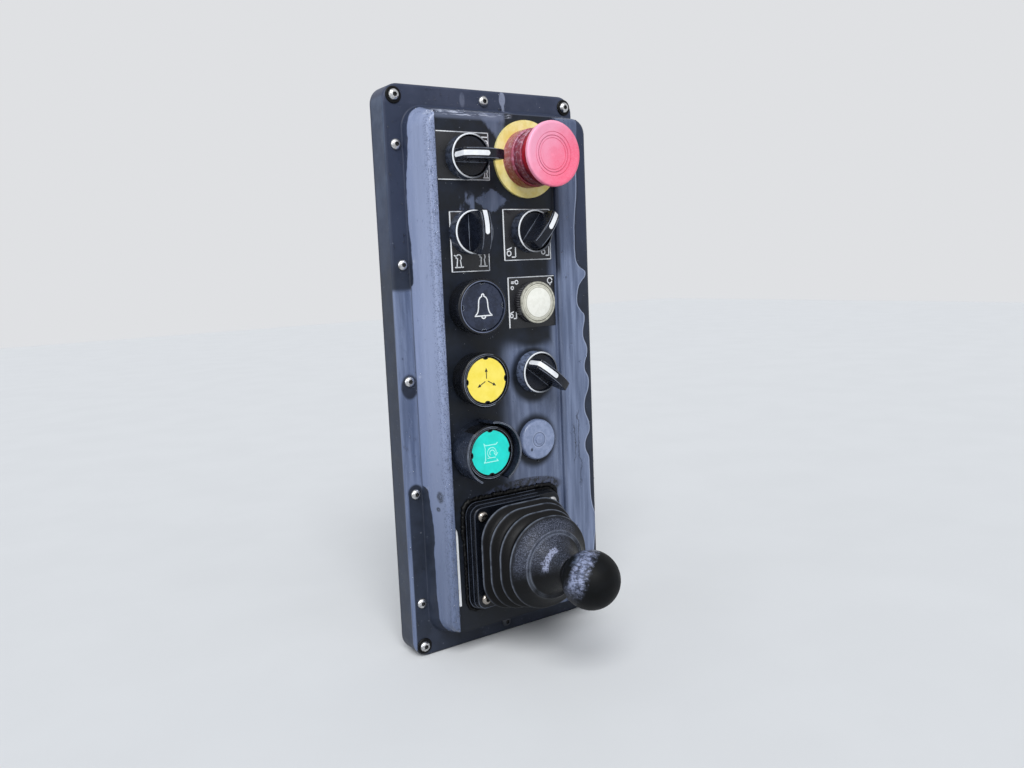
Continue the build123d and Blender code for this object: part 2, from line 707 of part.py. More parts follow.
def bellows_skin(inset):
    """Folded form of the bellows, or of its inside when inset is its wall."""
    base_share = BELLOWS_BASE_CORNER_R / BELLOWS_BASE_HALF
    base = BELLOWS_BASE_HALF - inset
    sections = [
        bellows_section(base, base_share, GASKET_THICKNESS),
        bellows_section(base, base_share, BELLOWS_BASE),
    ]
    previous = None
    for over_frame, overhang, share in BELLOWS_RIDGES:
        height = BELLOWS_BASE + over_frame
        half = BELLOWS_BASE_HALF + overhang
        if previous:
            valley_height = (previous[0] + height) / 2
            valley_half = (previous[1] + half) / 2 - BELLOWS_FOLD - inset
            valley_share = (previous[2] + share) / 2
            sections.append(bellows_section(valley_half, valley_share, valley_height))
        sections.append(bellows_section(half - inset, share, height))
        previous = (height, half, share)
    skin = loft(sections, ruled=True)
    top_height, top_half, _ = previous
    cone = turned(
        (
            (0, top_height, 0),
            (top_half - inset, top_height, 0),
            (BELLOWS_STEP_R - inset, BELLOWS_BASE + BELLOWS_STEP_HEIGHT - inset, 0),
            (BELLOWS_NECK_R - inset, BELLOWS_TOP - inset, 0),
            (0, BELLOWS_TOP - inset, 0),
        )
    )
    return skin + cone


def joystick_bellows():
    """Rubber bellows: folds with rounded corners that turn into a round cone."""
    skin = bellows_skin(0) - bellows_skin(BELLOWS_WALL)
    return skin - Cylinder(SLEEVE_R + SLEEVE_CLEARANCE, 4 * BELLOWS_TOP)


def column(radius, bottom, top):
    return Pos(0, 0, bottom) * extrude(Circle(radius), top - bottom)


def pivot_pin(radius, reach):
    return Pos(0, 0, -PIVOT_DEPTH) * Rot(0, 90, 0) * Cylinder(radius, 2 * reach)


def joystick_stick():
    """Lever with its pivot ball and cross pin, and a sleeve where the neck of the bellows grips it."""
    knob_bottom = BELLOWS_TOP + BALL_COLLAR_GAP
    lever = column(STICK_R, -PIVOT_DEPTH, knob_bottom)
    lever += column(SLEEVE_R, BELLOWS_TOP - SLEEVE_LENGTH, knob_bottom)
    lever += Pos(0, 0, -PIVOT_DEPTH) * Sphere(PIVOT_R)
    return lever + pivot_pin(PIVOT_PIN_R, PIVOT_PIN_REACH)


def joystick_knob():
    collar = column(BALL_COLLAR_R, BELLOWS_TOP + BALL_COLLAR_GAP, BALL_CENTRE)
    return collar + Pos(0, 0, BALL_CENTRE) * Sphere(BALL_R)


def joystick_mechanism():
    """Housing of the lever's pivot, with a flange behind the panel and a cone that the lever swings in."""
    top = -WALL
    flange_bottom = top - MECHANISM_PLATE_THICKNESS
    body = rounded_plate(
        MECHANISM_PLATE_HALF, MECHANISM_PLATE_HALF, MECHANISM_ROUNDING, flange_bottom, top
    )
    body += rounded_plate(
        MECHANISM_HALF, MECHANISM_HALF, MECHANISM_ROUNDING, -MECHANISM_DEPTH, flange_bottom
    )
    body -= Pos(0, 0, -PIVOT_DEPTH) * Sphere(PIVOT_R + PIVOT_CLEARANCE)
    body -= pivot_pin(PIVOT_PIN_R + PIVOT_CLEARANCE, PIVOT_PIN_REACH + PIVOT_PIN_END_GAP)
    rise = PIVOT_DEPTH - WALL
    mouth = rise * tan(radians(PIVOT_CONE_ANGLE)) + STICK_R
    cone = Pos(0, 0, -PIVOT_DEPTH) * Cone(
        STICK_R, mouth, rise, align=(Align.CENTER, Align.CENTER, Align.MIN)
    )
    return body - cone - joystick_screw_holes()


def main():
    write("panel_shell", panel_shell())

    for name, column, row, reach, turn in SELECTORS:
        place = control_place(column, row)
        write(f"{name}_bezel", selector_bezel(), place)
        write(f"{name}_knob", selector_knob(reach), place * Rot(0, 0, -turn))
        write_back(name, place)

    for name, column, row, lift in LARGE_BUTTONS:
        place = control_place(column, row)
        write(f"{name}_bezel", large_bezel(lift), place)
        write(f"{name}_cap", large_cap(lift), place)
        write_back(name, place)
        if lift:
            write(f"{name}_guard", guard(), place)

    name, column, row = SMALL_BUTTON
    place = control_place(column, row)
    write(f"{name}_bezel", small_bezel(), place)
    write(f"{name}_cap", small_cap(), place)
    write_back(name, place)

    name, column, row = STOP
    place = control_place(column, row)
    write(f"{name}_ring", stop_ring(), place)
    write(f"{name}_collar", stop_collar(), place)
    write(f"{name}_head", stop_head(), place)
    write_back(name, place)

    name, column, row = PLUG
    place = control_place(column, row)
    write(f"{name}_cover", plug(), place)
    write(f"{name}_locknut", locknut(), place)

    write("joystick_gasket", joystick_gasket(), JOYSTICK_PLACE)
    write("joystick_frame", joystick_frame(), JOYSTICK_PLACE)
    write("joystick_bellows", joystick_bellows(), JOYSTICK_PLACE)
    write("joystick_stick", joystick_stick(), JOYSTICK_PLACE)
    write("joystick_knob", joystick_knob(), JOYSTICK_PLACE)
    write("joystick_mechanism", joystick_mechanism(), JOYSTICK_PLACE)


main()
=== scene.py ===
import json
import math
import random
from functools import reduce
from operator import or_

import bpy
from mathutils import Matrix, Vector
from mathutils.bvhtree import BVHTree


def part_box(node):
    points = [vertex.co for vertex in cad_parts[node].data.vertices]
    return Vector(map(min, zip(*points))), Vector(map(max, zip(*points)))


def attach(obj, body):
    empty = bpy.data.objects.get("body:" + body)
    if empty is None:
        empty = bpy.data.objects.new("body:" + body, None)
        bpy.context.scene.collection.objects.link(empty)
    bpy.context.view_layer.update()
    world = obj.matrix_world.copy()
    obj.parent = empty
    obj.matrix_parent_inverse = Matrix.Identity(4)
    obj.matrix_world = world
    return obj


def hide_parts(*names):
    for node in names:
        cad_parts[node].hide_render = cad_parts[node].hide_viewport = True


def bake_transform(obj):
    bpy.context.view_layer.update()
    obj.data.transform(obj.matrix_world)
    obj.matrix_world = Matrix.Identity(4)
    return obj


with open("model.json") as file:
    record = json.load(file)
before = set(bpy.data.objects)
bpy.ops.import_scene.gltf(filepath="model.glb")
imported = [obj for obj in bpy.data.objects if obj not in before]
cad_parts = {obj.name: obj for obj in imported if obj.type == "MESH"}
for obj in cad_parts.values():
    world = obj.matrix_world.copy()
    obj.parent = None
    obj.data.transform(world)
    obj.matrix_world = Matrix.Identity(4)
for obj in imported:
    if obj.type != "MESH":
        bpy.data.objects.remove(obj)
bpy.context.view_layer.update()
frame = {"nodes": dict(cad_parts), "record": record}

# Looks of an operator control panel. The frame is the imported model's, in metres, and the tables below are in mm:
# x runs across the panel, z up it, and h out of it from its mounting plane.
MM = 0.001
PANEL = "panel"
OUT = Vector((0, -1, 0))

FACE = 41.5
CONSOLE = 44.5
CONSOLE_END = 186.5
FLANGE = 19.5
COLUMNS = {"left": -31.0, "right": 19.0}
ROWS = {"first": 150.0, "second": 100.0, "third": 50.0, "fourth": 0.0, "fifth": -50.0}
JOYSTICK = (-6.0, -125.9)
BEZEL_TOP = FACE + 9.6
BALL_CENTRE = FACE + 94.5
LARGE_CAP_TOP = FACE + 15.5
GUARDED_CAP_TOP = LARGE_CAP_TOP + 1.5
GUARD_TOP = FACE + 22.0
STOP_TOP = FACE + 31.8
LENS_RIBS = 56.0
# folds of the bellows: height over the control face, half width and share of it that is corner radius
BELLOWS_RIDGES = ((19.0, 37.4, 0.64), (27.0, 35.9, 0.74), (35.6, 33.6, 0.84), (45.4, 32.2, 0.95))
BELLOWS_STEP = 52.6
REST_PLACE = "rest_place"
CHIP = (-60.8, -80.5)


def point(x, z, h):
    """Place in the frame from mm across, up and out of the panel."""
    return Vector((x * MM, -h * MM, z * MM))


def axis_of(column, row):
    """Where a control's axis meets the panel, across and up."""
    return COLUMNS[column], ROWS[row]


def add_object(name, data):
    thing = bpy.data.objects.new(name, data)
    bpy.context.scene.collection.objects.link(thing)
    return thing


def rgb(code):
    """Linear colour, with alpha, from a hex code."""
    channels = [int(code[n:n + 2], 16) / 255 for n in (1, 3, 5)]
    linear = [c / 12.92 if c <= 0.04045 else ((c + 0.055) / 1.055) ** 2.4 for c in channels]
    return (*linear, 1.0)


# Materials

materials = {}


class Value:
    """A number that differs from place to place on a material. Two masks are joined by * and |."""

    def __init__(self, graph, socket):
        self.graph, self.socket = graph, socket

    def __add__(self, other):
        return self.graph.math("ADD", self, other)

    def __sub__(self, other):
        return self.graph.math("SUBTRACT", self, other)

    def __rsub__(self, other):
        return self.graph.math("SUBTRACT", other, self)

    def __mul__(self, other):
        return self.graph.math("MULTIPLY", self, other)

    def __truediv__(self, other):
        return self.graph.math("DIVIDE", self, other)

    def __or__(self, other):
        return self.graph.math("MAXIMUM", self, other)

    def __abs__(self):
        return self.graph.math("ABSOLUTE", self)

    def ramp(self, low=0.3, high=0.7, least=0.0, most=1.0):
        """Smooth step from least at low to most at high."""
        inputs = {"Value": self, "From Min": low, "From Max": high, "To Min": least, "To Max": most}
        return self.graph.value("ShaderNodeMapRange", inputs, interpolation_type="SMOOTHSTEP")

    def span(self, start, full, last, end):
        """Rises from 0 at start to 1 at full, and falls from 1 at last to 0 at end."""
        return self.ramp(start, full) * self.ramp(end, last)

    def line(self, place, half, edge):
        """1 within half of place."""
        return abs(self - place).ramp(half + edge, half - edge)


class Nodes:
    """A node tree, with short ways to add and join nodes."""

    def __init__(self, tree):
        self.tree = tree
        tree.nodes.clear()

    def add(self, kind, inputs, **settings):
        """A node. Its inputs are links from others, or plain numbers and hex colours set on the sockets themselves."""
        node = self.tree.nodes.new(kind)
        for key, value in settings.items():
            setattr(node, key, value)
        for key, value in inputs.items():
            if isinstance(value, Value):
                value = value.socket
            if isinstance(value, bpy.types.NodeSocket):
                self.tree.links.new(value, node.inputs[key])
            else:
                node.inputs[key].default_value = rgb(value) if isinstance(value, str) else value
        return node

    def value(self, kind, inputs, out=0, **settings):
        return Value(self, self.add(kind, inputs, **settings).outputs[out])

    def math(self, operation, *values):
        return self.value("ShaderNodeMath", dict(enumerate(values)), operation=operation)


class Graph(Nodes):
    """The nodes of one material. Lengths are in mm.
    attribute names a mesh attribute holding the piece's own copy of its points at rest, read instead of object
    coordinates."""

    def __init__(self, name, attribute=None):
        self.name = name
        self.material = bpy.data.materials.new(name)
        self.material.use_nodes = True
        super().__init__(self.material.node_tree)
        coordinates = self.add("ShaderNodeTexCoord", {}).outputs
        place = coordinates["Object"]
        if attribute:
            place = self.add("ShaderNodeAttribute", {}, attribute_name=attribute).outputs["Vector"]
        self.facing_right, self.facing_back, _ = self.split(coordinates["Normal"])
        self.place = self.add("ShaderNodeVectorMath", {0: place, "Scale": 1 / MM}, operation="SCALE").outputs[0]
        self.x, depth, self.z = self.split(self.place)
        self.h = depth * -1.0

    def split(self, vector):
        return [Value(self, part) for part in self.add("ShaderNodeSeparateXYZ", {0: vector}).outputs]

    def noise(self, size, detail=2.0, rough=0.5, stretch=(1, 1, 1)):
        """Noise whose features are about size mm across, longer along an axis by its stretch."""
        scaled = {0: self.place, 1: [1 / (size * s) for s in stretch]}
        vector = self.add("ShaderNodeVectorMath", scaled, operation="MULTIPLY").outputs[0]
        inputs = {"Vector": vector, "Scale": 1.0, "Detail": detail, "Roughness": rough}
        return self.value("ShaderNodeTexNoise", inputs)

    def wander(self, reach, size, detail, rough=0.5):
        """Noise round 0 that spans reach."""
        return (self.noise(size, detail, rough) - 0.5) * reach

    def cells(self, size):
        """Distance to the middle of the nearest of cells size mm across."""
        return self.value("ShaderNodeTexVoronoi", {"Vector": self.place, "Scale": 1 / size}, "Distance")

    def mix(self, share, first, second):
        """A colour from first to second."""
        return self.add("ShaderNodeMix", {0: share, 6: first, 7: second}, data_type="RGBA").outputs[2]

    def blend(self, share, first, second):
        """A number from first to second."""
        return self.value("ShaderNodeMix", {0: share, 2: first, 3: second}, data_type="FLOAT")

    def layers(self, colour, *rows):
        """Colours laid over one another, each by its mask."""
        for mask, tone in rows:
            colour = self.mix(mask, colour, tone)
        return colour

    def table(self, rows, low=-200.0, high=200.0, top=100.0):
        """Value in mm read off rows of (z, value), for z from low to high and values from 0 to top."""
        node = self.add("ShaderNodeFloatCurve", {"Value": (self.z - low) / (high - low)})
        points = node.mapping.curves[0].points
        rows = sorted(rows)
        rows = [(low, rows[0][1])] + rows + [(high, rows[-1][1])]
        while len(points) < len(rows):
            points.new(0.5, 0.5)
        for (place, value), spot in zip(rows, points):
            spot.location = ((place - low) / (high - low), value / top)
            spot.handle_type = "AUTO_CLAMPED"
        node.mapping.update()
        return Value(self, node.outputs[0]) * top

    def length(self, across, up):
        return self.math("SQRT", self.math("POWER", across, 2.0) + self.math("POWER", up, 2.0))

    def from_axis(self, column, row):
        """Distance from a control's axis."""
        return self.length(self.x - COLUMNS[column], self.z - ROWS[row])

    def oval(self, x, z, half_x, half_z, edge=0.15):
        """1 inside an oval on the panel, 0 outside it."""
        return self.length((self.x - x) / half_x, (self.z - z) / half_z).ramp(1 + edge, 1 - edge)

    def finish(self, colour, roughness, height=None, strength=0.0, depth=0.0, **sockets):
        """Keeps the material, with bumps of depth mm where a height is given."""
        inputs = {"Base Color": colour, "Roughness": roughness}
        inputs.update({key.replace("_", " "): value for key, value in sockets.items()})
        if height:
            bump = {"Height": height, "Strength": strength, "Distance": depth * MM}
            inputs["Normal"] = self.add("ShaderNodeBump", bump).outputs[0]
        shader = self.add("ShaderNodeBsdfPrincipled", inputs)
        self.add("ShaderNodeOutputMaterial", {0: shader.outputs[0]})
        materials[self.name] = self.material


def moulded(name, low, high, roughness=(0.35, 0.5), grain=0.5, strength=0.1):
    """Moulded plastic: mottled between two colours, with a fine grain and uneven gloss."""
    g = Graph(name)
    colour = g.mix(g.noise(9.0, 5, 0.65).ramp(), low, high)
    g.finish(colour, g.noise(4.0, 4).ramp(0.3, 0.7, *roughness), g.noise(grain), strength, 0.05)


# Edge of the water film, and of its painted sheen, on the left slope: z and how far out of the panel it begins, in mm
SLOPE_FILM = (
    (186, 24.0), (182, 23.0), (175, 24.9), (153.7, 23.9), (132, 21.0), (115.6, 20.7), (98.9, 21.8), (70.8, 22.8),
    (65.2, 20.7), (62, 12.0), (-70, 12.0), (-74, 19.5), (-78, 25.8), (-89.7, 27.3), (-112, 29.7), (-120, 28.4),
    (-168.8, 29.7), (-180, 32.8), (-187, 44.0),
)
# Wavy right edge of the water film, and of its painted sheen, on the shoulder: z and x, in mm
SHOULDER_FILM = (
    (178, 63.0), (150, 61.5), (124.9, 60.4), (110, 58.6), (95.4, 57.7), (80.9, 58.1), (73.0, 62.0), (68.9, 67.0),
    (64.0, 64.0), (58.8, 60.0), (49.3, 58.3), (41.8, 61.2), (36.6, 64.9), (24.3, 62.9), (11.5, 66.3), (-0.9, 63.5),
    (-11.4, 67.1), (-31.2, 62.3), (-47.1, 66.5), (-60.6, 61.9), (-72.8, 65.5), (-95, 65.5), (-108, 67.0),
    (-122.5, 71.1), (-136.5, 68.0), (-178, 66.0),
)


class Housing(Graph):
    """Graph of the housing, with the noises and masks that its areas share."""

    def __init__(self):
        super().__init__("housing_plastic")
        self.mottle = self.noise(14.0, 6, 0.65)
        self.streaks = self.noise(4.0, 4, 0.55, (1, 1, 14))
        self.ragged = self.noise(3.0, 6, 0.7) - 0.5
        self.wobble = self.wander(2.2, 7.0, 3)
        self.patch = self.noise(16.0, 4, 0.55, (1, 1, 1.8)) + self.ragged * 0.1
        self.face = self.h.span(FACE - 1.6, FACE - 0.6, FACE + 0.4, FACE + 1.0)
        # what faces the front or the left, but not the inside of the shell
        self.outer = (0.0 - (self.facing_back + self.facing_right * 0.5)).ramp(0.02, 0.08)


def left_film_sheen(g):
    """Film on the left slope, beaded along its crest and chipped, and on the ledge beside it. Its lighter colour is a
    painted sheen, brighter towards the top of the slope.
    """
    slope = g.x.ramp(-52.5, -54.2) * (g.h + g.wobble - g.table(SLOPE_FILM)).ramp(-0.4, 0.5)
    slope = slope * g.h.ramp(FLANGE + 0.4, FLANGE + 1.6) * g.z.ramp(CONSOLE_END, CONSOLE_END - 2.5) * g.outer
    chips = g.oval(*CHIP, 0.85, 4.0, 0.3) | g.oval(CHIP[0] - 0.6, CHIP[1] - 9.0, 0.5, 1.6, 0.3)
    chips = chips * slope * g.noise(1.6, 4, 0.7).ramp(0.38, 0.5, 0.3)
    crest = slope * (g.h + g.ragged * 9.0).ramp(37.5, 41.0) * g.cells(1.25).ramp(0.42, 0.3)
    ledge = g.x.ramp(-64.6, -66.2) * g.h.ramp(FLANGE - 2.6, FLANGE - 1.4) * (g.z + g.wobble).ramp(64.5, 61.0)
    dry_spot = g.oval(-70.4, -3.8, 6.4, 8.6)
    stripe = g.z.ramp(-78.0, -80.0) * g.x.ramp(-76.6, -75.6) | g.oval(-70.6, -79.0, 5.8, 6.0)
    ledge = ledge * (1.0 - dry_spot) * (1.0 - stripe) * g.outer
    slope_sheen = g.mix(g.z.ramp(-190.0, 40.0), "#505c77", "#8590ae")
    slope_sheen = g.mix(g.streaks.ramp(0.35, 0.7) * 0.3, slope_sheen, "#6d7894")
    ledge_sheen = g.mix(g.streaks.ramp(0.35, 0.65), "#4c5873", "#67738f")
    rows = (ledge, ledge_sheen), (slope, slope_sheen), (chips * 0.85, "#1a2130"), (crest * 0.55, "#39445c")
    return slope | ledge, crest, rows


def shoulder_sheen(g):
    """Film on the broad shoulder right of the control face, cracked in wavy lines along its edge. Its lighter colour
    is a painted sheen, with a painted highlight along its edge and a dark line just outside it.
    """
    edge = g.x + g.wobble * 0.35 - g.table(SHOULDER_FILM)
    shoulder = g.x.ramp(43.5, 46.0) * g.h.ramp(CONSOLE - 2.8, CONSOLE - 1.6) * g.facing_back.ramp(-0.2, -0.5)
    film = shoulder * edge.ramp(0.25, -0.25) * g.z.ramp(186.0, 180.0)
    # rim is a painted highlight along the film's edge
    rim, outline = (shoulder * edge.line(*row) * g.z.ramp(170.0, 150.0) for row in ((0.0, 0.4, 0.3), (1.2, 0.5, 0.4)))
    waver = g.wander(12.0, 13.0, 4, 0.6)
    cracks = (g.x + waver).line(56.5, 0.5, 0.3) * g.z.span(-92, -86, -36, -30)
    cracks = (cracks | (g.x - waver).line(52.5, 0.42, 0.3) * g.z.span(-74, -70, -46, -40)) * film
    tone = g.mix(g.streaks.ramp(), "#4f5b76", "#717d99")
    tone = g.mix(g.z.ramp(76.0, 90.0, 0.0, 0.55), tone, "#333f5a")
    rows = (film, tone), (outline * 0.6, "#151b28"), (rim * 0.75, "#98a2bc"), (cracks * 0.65, "#222b3e")
    return film, cracks, rows


def control_film_sheen(g):
    """Wet control face between the lower controls, with a diamond-shaped run, a patch in the top corner and a
    puddle over the joystick. The film's lighter colour is a painted sheen."""
    lower = g.x.ramp(-14.0, 2.0) * g.z.span(-98.0, -84.0, 14.0, 27.0)
    lower = lower * g.noise(22.0, 3, stretch=(1, 1, 2.5)).ramp(0.32, 0.48, 0.7)
    rings = (19, 50, 27, 33), (18.5, -2, 19.5, 20.5), (18, -51, 18.5, 19.5), (-31, -50, 25, 26)
    lower = lower * (1.0 - reduce(or_, [g.oval(*ring) for ring in rings]))
    run_down = abs(g.x + 11.0) / 14.0 + abs(g.z - 121.5) / 8.5 + g.ragged * 1.1
    small_patch = g.x.span(-37.0, -36.0, -25.5, -24.0) * g.z.span(114.5, 116.0, 124.0, 129.0)
    top_patch = (g.x + g.ragged * 6.0).span(-19.0, -16.5, 0.0, 4.0) * g.z.ramp(160.0, 164.0)
    top_patch = top_patch * (g.z + g.x + g.ragged * 9.0).ramp(158.0, 162.0)
    right_streak = g.x.ramp(33.0, 40.0) * g.z.ramp(120.0, 60.0)
    wall = g.x.span(38.5, 39.5, 45.5, 47.0) * g.h.ramp(FACE - 1.0, FACE - 0.5) * g.z.ramp(76.0, 62.0)
    film = lower | run_down.ramp(1.1, 0.85, 0.0, 0.7) | small_patch * g.patch.ramp(0.42, 0.5)
    film = (g.face * (film | top_patch * 0.7 | right_streak) | wall * 0.85) * g.outer
    puddle = g.face * g.oval(6.0, -86.0, 34.0, 8.5, 0.08) * g.z.ramp(-95.0, -93.0)
    return film, (
        (film, g.mix(g.streaks.ramp(0.35, 0.7), "#4f5a74", "#6b7690")),
        (puddle, g.mix(g.ragged.ramp(-0.05, 0.05), "#181c24", "#3c4358")),
    )


def top_sheen_glints_dust(g):
    """A film under the console's top edge and runs of water on the flange above it, both lightened as a painted sheen,
    painted highlights as glints along the edge, and dust.
    """
    film = g.z.span(174.0, 176.5, CONSOLE_END - 1.5, CONSOLE_END) * g.x.span(-54, -52, 1.0, 4.0)
    film = film * g.h.ramp(FACE - 3, FACE - 1) * g.outer
    run = g.oval(16.0, 194.5, 2.6, 5.0) | g.oval(16.4, 188.0, 1.2, 5.0) | g.oval(-17.3, 192.0, 2.0, 4.6, 0.3) * 0.35
    run = run * g.h.ramp(FLANGE - 2.0, FLANGE - 1.0) * (g.patch + g.ragged).ramp(0.3, 0.55, 0.25)
    glints = g.z.span(176.8, 178.0, CONSOLE_END - 2.0, CONSOLE_END) * g.x.span(-62, -58, 4.0, 10.0)
    glints = glints * g.h.ramp(FACE - 9.0, FACE - 4.0) * g.noise(0.55, 4, 0.65, (14, 1, 1)).ramp(0.52, 0.6)
    glints = glints * g.noise(9.0).ramp(0.35, 0.55, 0.3)
    dust = g.cells(3.1).ramp(0.11, 0.05) * g.noise(9.0).ramp(0.5, 0.62)
    return (film * 0.6, "#6a7288"), (run * 0.75, "#9097ad"), (glints, "#c3cadb"), (dust * 0.5, "#a4a9b8")


def housing_plastic():
    """Dark moulded plastic, dry and grained in places and under a film of rain in others, where its colour is
    lightened as a painted sheen.
    """
    g = Housing()
    control, control_rows = control_film_sheen(g)
    shoulder, cracks, shoulder_rows = shoulder_sheen(g)
    left, crest, left_rows = left_film_sheen(g)
    face_tone = g.mix(g.mottle.ramp(0.35, 0.65), "#0b1119", "#151c29")
    # painted sheen in vertical runs on the left side wall, lighter towards the top
    wall_sheen_runs = g.x.ramp(-77.6, -78.3) * g.h.ramp(1.0, 3.0) * g.z.ramp(40.0, 190.0, 0.25) * g.outer
    wall_sheen_runs = wall_sheen_runs * g.noise(3.0, 5, 0.65, (1, 4, 5)).ramp(0.4, 0.6, 0.45)
    colour = g.layers(
        g.mix(g.mottle.ramp(), "#1c222e", "#272e3d"),
        (g.z.ramp(60.0, 110.0, 0.0, 0.55), "#2f3850"),
        (g.z.ramp(186.0, 188.0) * g.noise(20.0, 5, 0.6).ramp(0.4, 0.6, 0.2, 0.8), "#3a4054"),
        (g.face, g.mix(g.z.ramp(-90.0, -180.0, 0.0, 0.6), face_tone, "#0a0e14")),
        (wall_sheen_runs * 0.7, "#4c586d"),
        *control_rows, *shoulder_rows, *left_rows, *top_sheen_glints_dust(g),
    )
    wet = left | shoulder | control * 0.8
    ripple = g.noise(5.0, 3, stretch=(1, 1, 4))
    gloss = g.blend(wet, g.mottle.ramp(0.3, 0.7, 0.42, 0.55), ripple.ramp(0.3, 0.7, 0.16, 0.3))
    height = g.blend(wet, g.noise(0.45), ripple * 1.3) + wet * 1.2 - (cracks | crest) * 0.8
    g.finish(colour, gloss, height, 0.5, 0.12, Specular_IOR_Level=g.blend(wet, 0.3, 0.5))


def black_plastic(name, low="#07080a", high="#101217", film=0.0):
    """Smooth black plastic with dust-fine scuffs. film is how much of a bluish film of rain lies on its sides, painted
    as a streaky sheen.
    """
    g = Graph(name)
    mottle = g.noise(6.0, 5, 0.7)
    scuffs = g.noise(0.8, 4, 0.7, (1, 1, 5)).ramp(0.62, 0.78)
    streaks = g.noise(2.2, 5, 0.65, (1, 2.5, 1)).ramp(0.38, 0.6, film * 0.35, film)
    sides = g.h.ramp(BEZEL_TOP - 0.9, BEZEL_TOP - 1.6)
    colour = g.layers(g.mix(mottle.ramp(), low, high), (scuffs * 0.3, "#3b3f4b"), (streaks * sides, "#7d8aa8"))
    gloss = mottle.ramp(0.3, 0.7, 0.2, 0.32) + scuffs * 0.2
    g.finish(colour, gloss, g.noise(0.5), 0.08, 0.05, Specular_IOR_Level=0.3)


def rim_grey():
    """Moulded edge of the selectors' bezels, grey, with a painted highlight brightest on its upper left."""
    g = Graph("rim_grey")
    right = g.math("GREATER_THAN", g.x, (COLUMNS["left"] + COLUMNS["right"]) / 2)
    across = g.x - g.blend(right, COLUMNS["left"], COLUMNS["right"])
    pitch = ROWS["first"] - ROWS["second"]
    up = g.math("MODULO", g.z + 5.5 * pitch, pitch) - pitch / 2
    mottle = g.noise(3.0, 4)
    lit = (up * 0.35 - across + mottle * 6.0).ramp(-8.0, 12.0)
    g.finish(g.mix(lit, "#4d525c", "#e3e6ea"), mottle.ramp(0.3, 0.7, 0.2, 0.32), mottle, 0.1, 0.05)


def ball_sheen():
    """Joystick's knob: black, with a torn, streaky film of rain over its left, painted as a lighter sheen that fades
    downwards.
    """
    g = Graph("ball_sheen")
    across, up, back = g.x - JOYSTICK[0], g.z - JOYSTICK[1], BALL_CENTRE - g.h
    place = across * -0.75 + back * 0.75 + up * 0.42 + g.wander(15.0, 5.0, 6, 0.7)
    film = place.span(3.2, 8.5, 15.5, 20.5) * up.ramp(-11.0, 5.0, 0.12)
    broken = g.blend(up.ramp(3.0, -6.0), g.noise(1.0, 5, 0.6, (1.6, 5.0, 1.0)), g.noise(0.8, 3, 0.8))
    kept = (broken + film * 0.16).ramp(0.55, 0.64)
    mottle = g.noise(8.0, 4)
    tone = g.mix(g.noise(2.5, 4).ramp(0.35, 0.65), "#434a5e", "#868eaa")
    colour = g.mix(film * 0.36 | film * kept, g.mix(mottle.ramp(), "#040506", "#090b0e"), tone)
    gloss = g.blend(film, mottle.ramp(0.3, 0.7, 0.5, 0.62), 0.3)
    height = film * (kept + 0.4) + g.noise(0.6) * 0.25
    g.finish(colour, gloss, height, 0.4, 0.2, Specular_IOR_Level=g.blend(film, 0.12, 0.3))


def grey_lens():
    """Translucent bezel of the small button: dark ribbed side and a pale front edge."""
    g = Graph("grey_lens")
    x, z = axis_of("right", "third")
    angle = g.math("ARCTAN2", g.z - z, g.x - x)
    ribs = g.math("SINE", angle * LENS_RIBS).ramp(-0.6, 0.8)
    front = g.h.ramp(BEZEL_TOP - 2.0, BEZEL_TOP - 1.0)
    mottle = g.noise(3.0, 4)
    lit = ribs * mottle.ramp(0.3, 0.7, 0.3) * g.h.ramp(FACE + 2.0, BEZEL_TOP - 3.0)
    colour = g.layers(
        g.mix(lit, "#26262a", "#77767a"),
        (g.h.line(BEZEL_TOP - 2.6, 0.3, 0.2), "#151517"),
        (front, g.mix(mottle.ramp(), "#8f8d80", "#bdbbae")),
    )
    g.finish(colour, mottle.ramp(0.3, 0.7, 0.15, 0.28), ribs * (1.0 - front), 0.5, 0.3)


def cream_plastic():
    """Cream cap of the small button: two rims round a paler middle."""
    g = Graph("cream_plastic")
    radius = g.from_axis("right", "third")
    mottle = g.noise(4.0, 4).ramp()
    edge = g.mix(mottle, "#bdbbad", "#cfcdbf")
    rings = radius.line(10.6, 0.18, 0.15) | radius.line(12.0, 0.15, 0.15)
    colour = g.mix(mottle, "#e1e0d6", "#e7e6dd")
    colour = g.layers(colour, (radius.ramp(10.3, 10.7), edge), (rings * 0.7, "#7d7b6c"))
    g.finish(colour, mottle.ramp(0.0, 1.0, 0.22, 0.34), 1.0 - rings, 0.4, 0.15)


def grey_plastic():
    """Blanking plug under a film of rain, its grey painted bluish and lighter as a sheen of that film, with a ring
    pressed into its front: painted shade in the ring, a painted highlight just outside it, and painted shade round its
    rim.
    """
    g = Graph("grey_plastic")
    radius = g.from_axis("right", "fifth")
    mottle = g.noise(5.0, 5, 0.6).ramp()
    ring = radius.line(5.2, 0.3, 0.15)
    colour = g.layers(
        g.mix(mottle, "#717e9c", "#8793b1"),
        (ring * 0.8, "#434e69"),
        (radius.line(5.8, 0.2, 0.15) * 0.6, "#aab4cc"),
        (g.oval(12.2, -56.6, 1.0, 1.2, 0.4) * 0.9, "#1d2636"),
        (radius.ramp(13.4, 14.4) * 0.5, "#55617d"),
    )
    g.finish(colour, mottle.ramp(0.0, 1.0, 0.2, 0.34), g.noise(2.0) - ring, 0.3, 0.15)


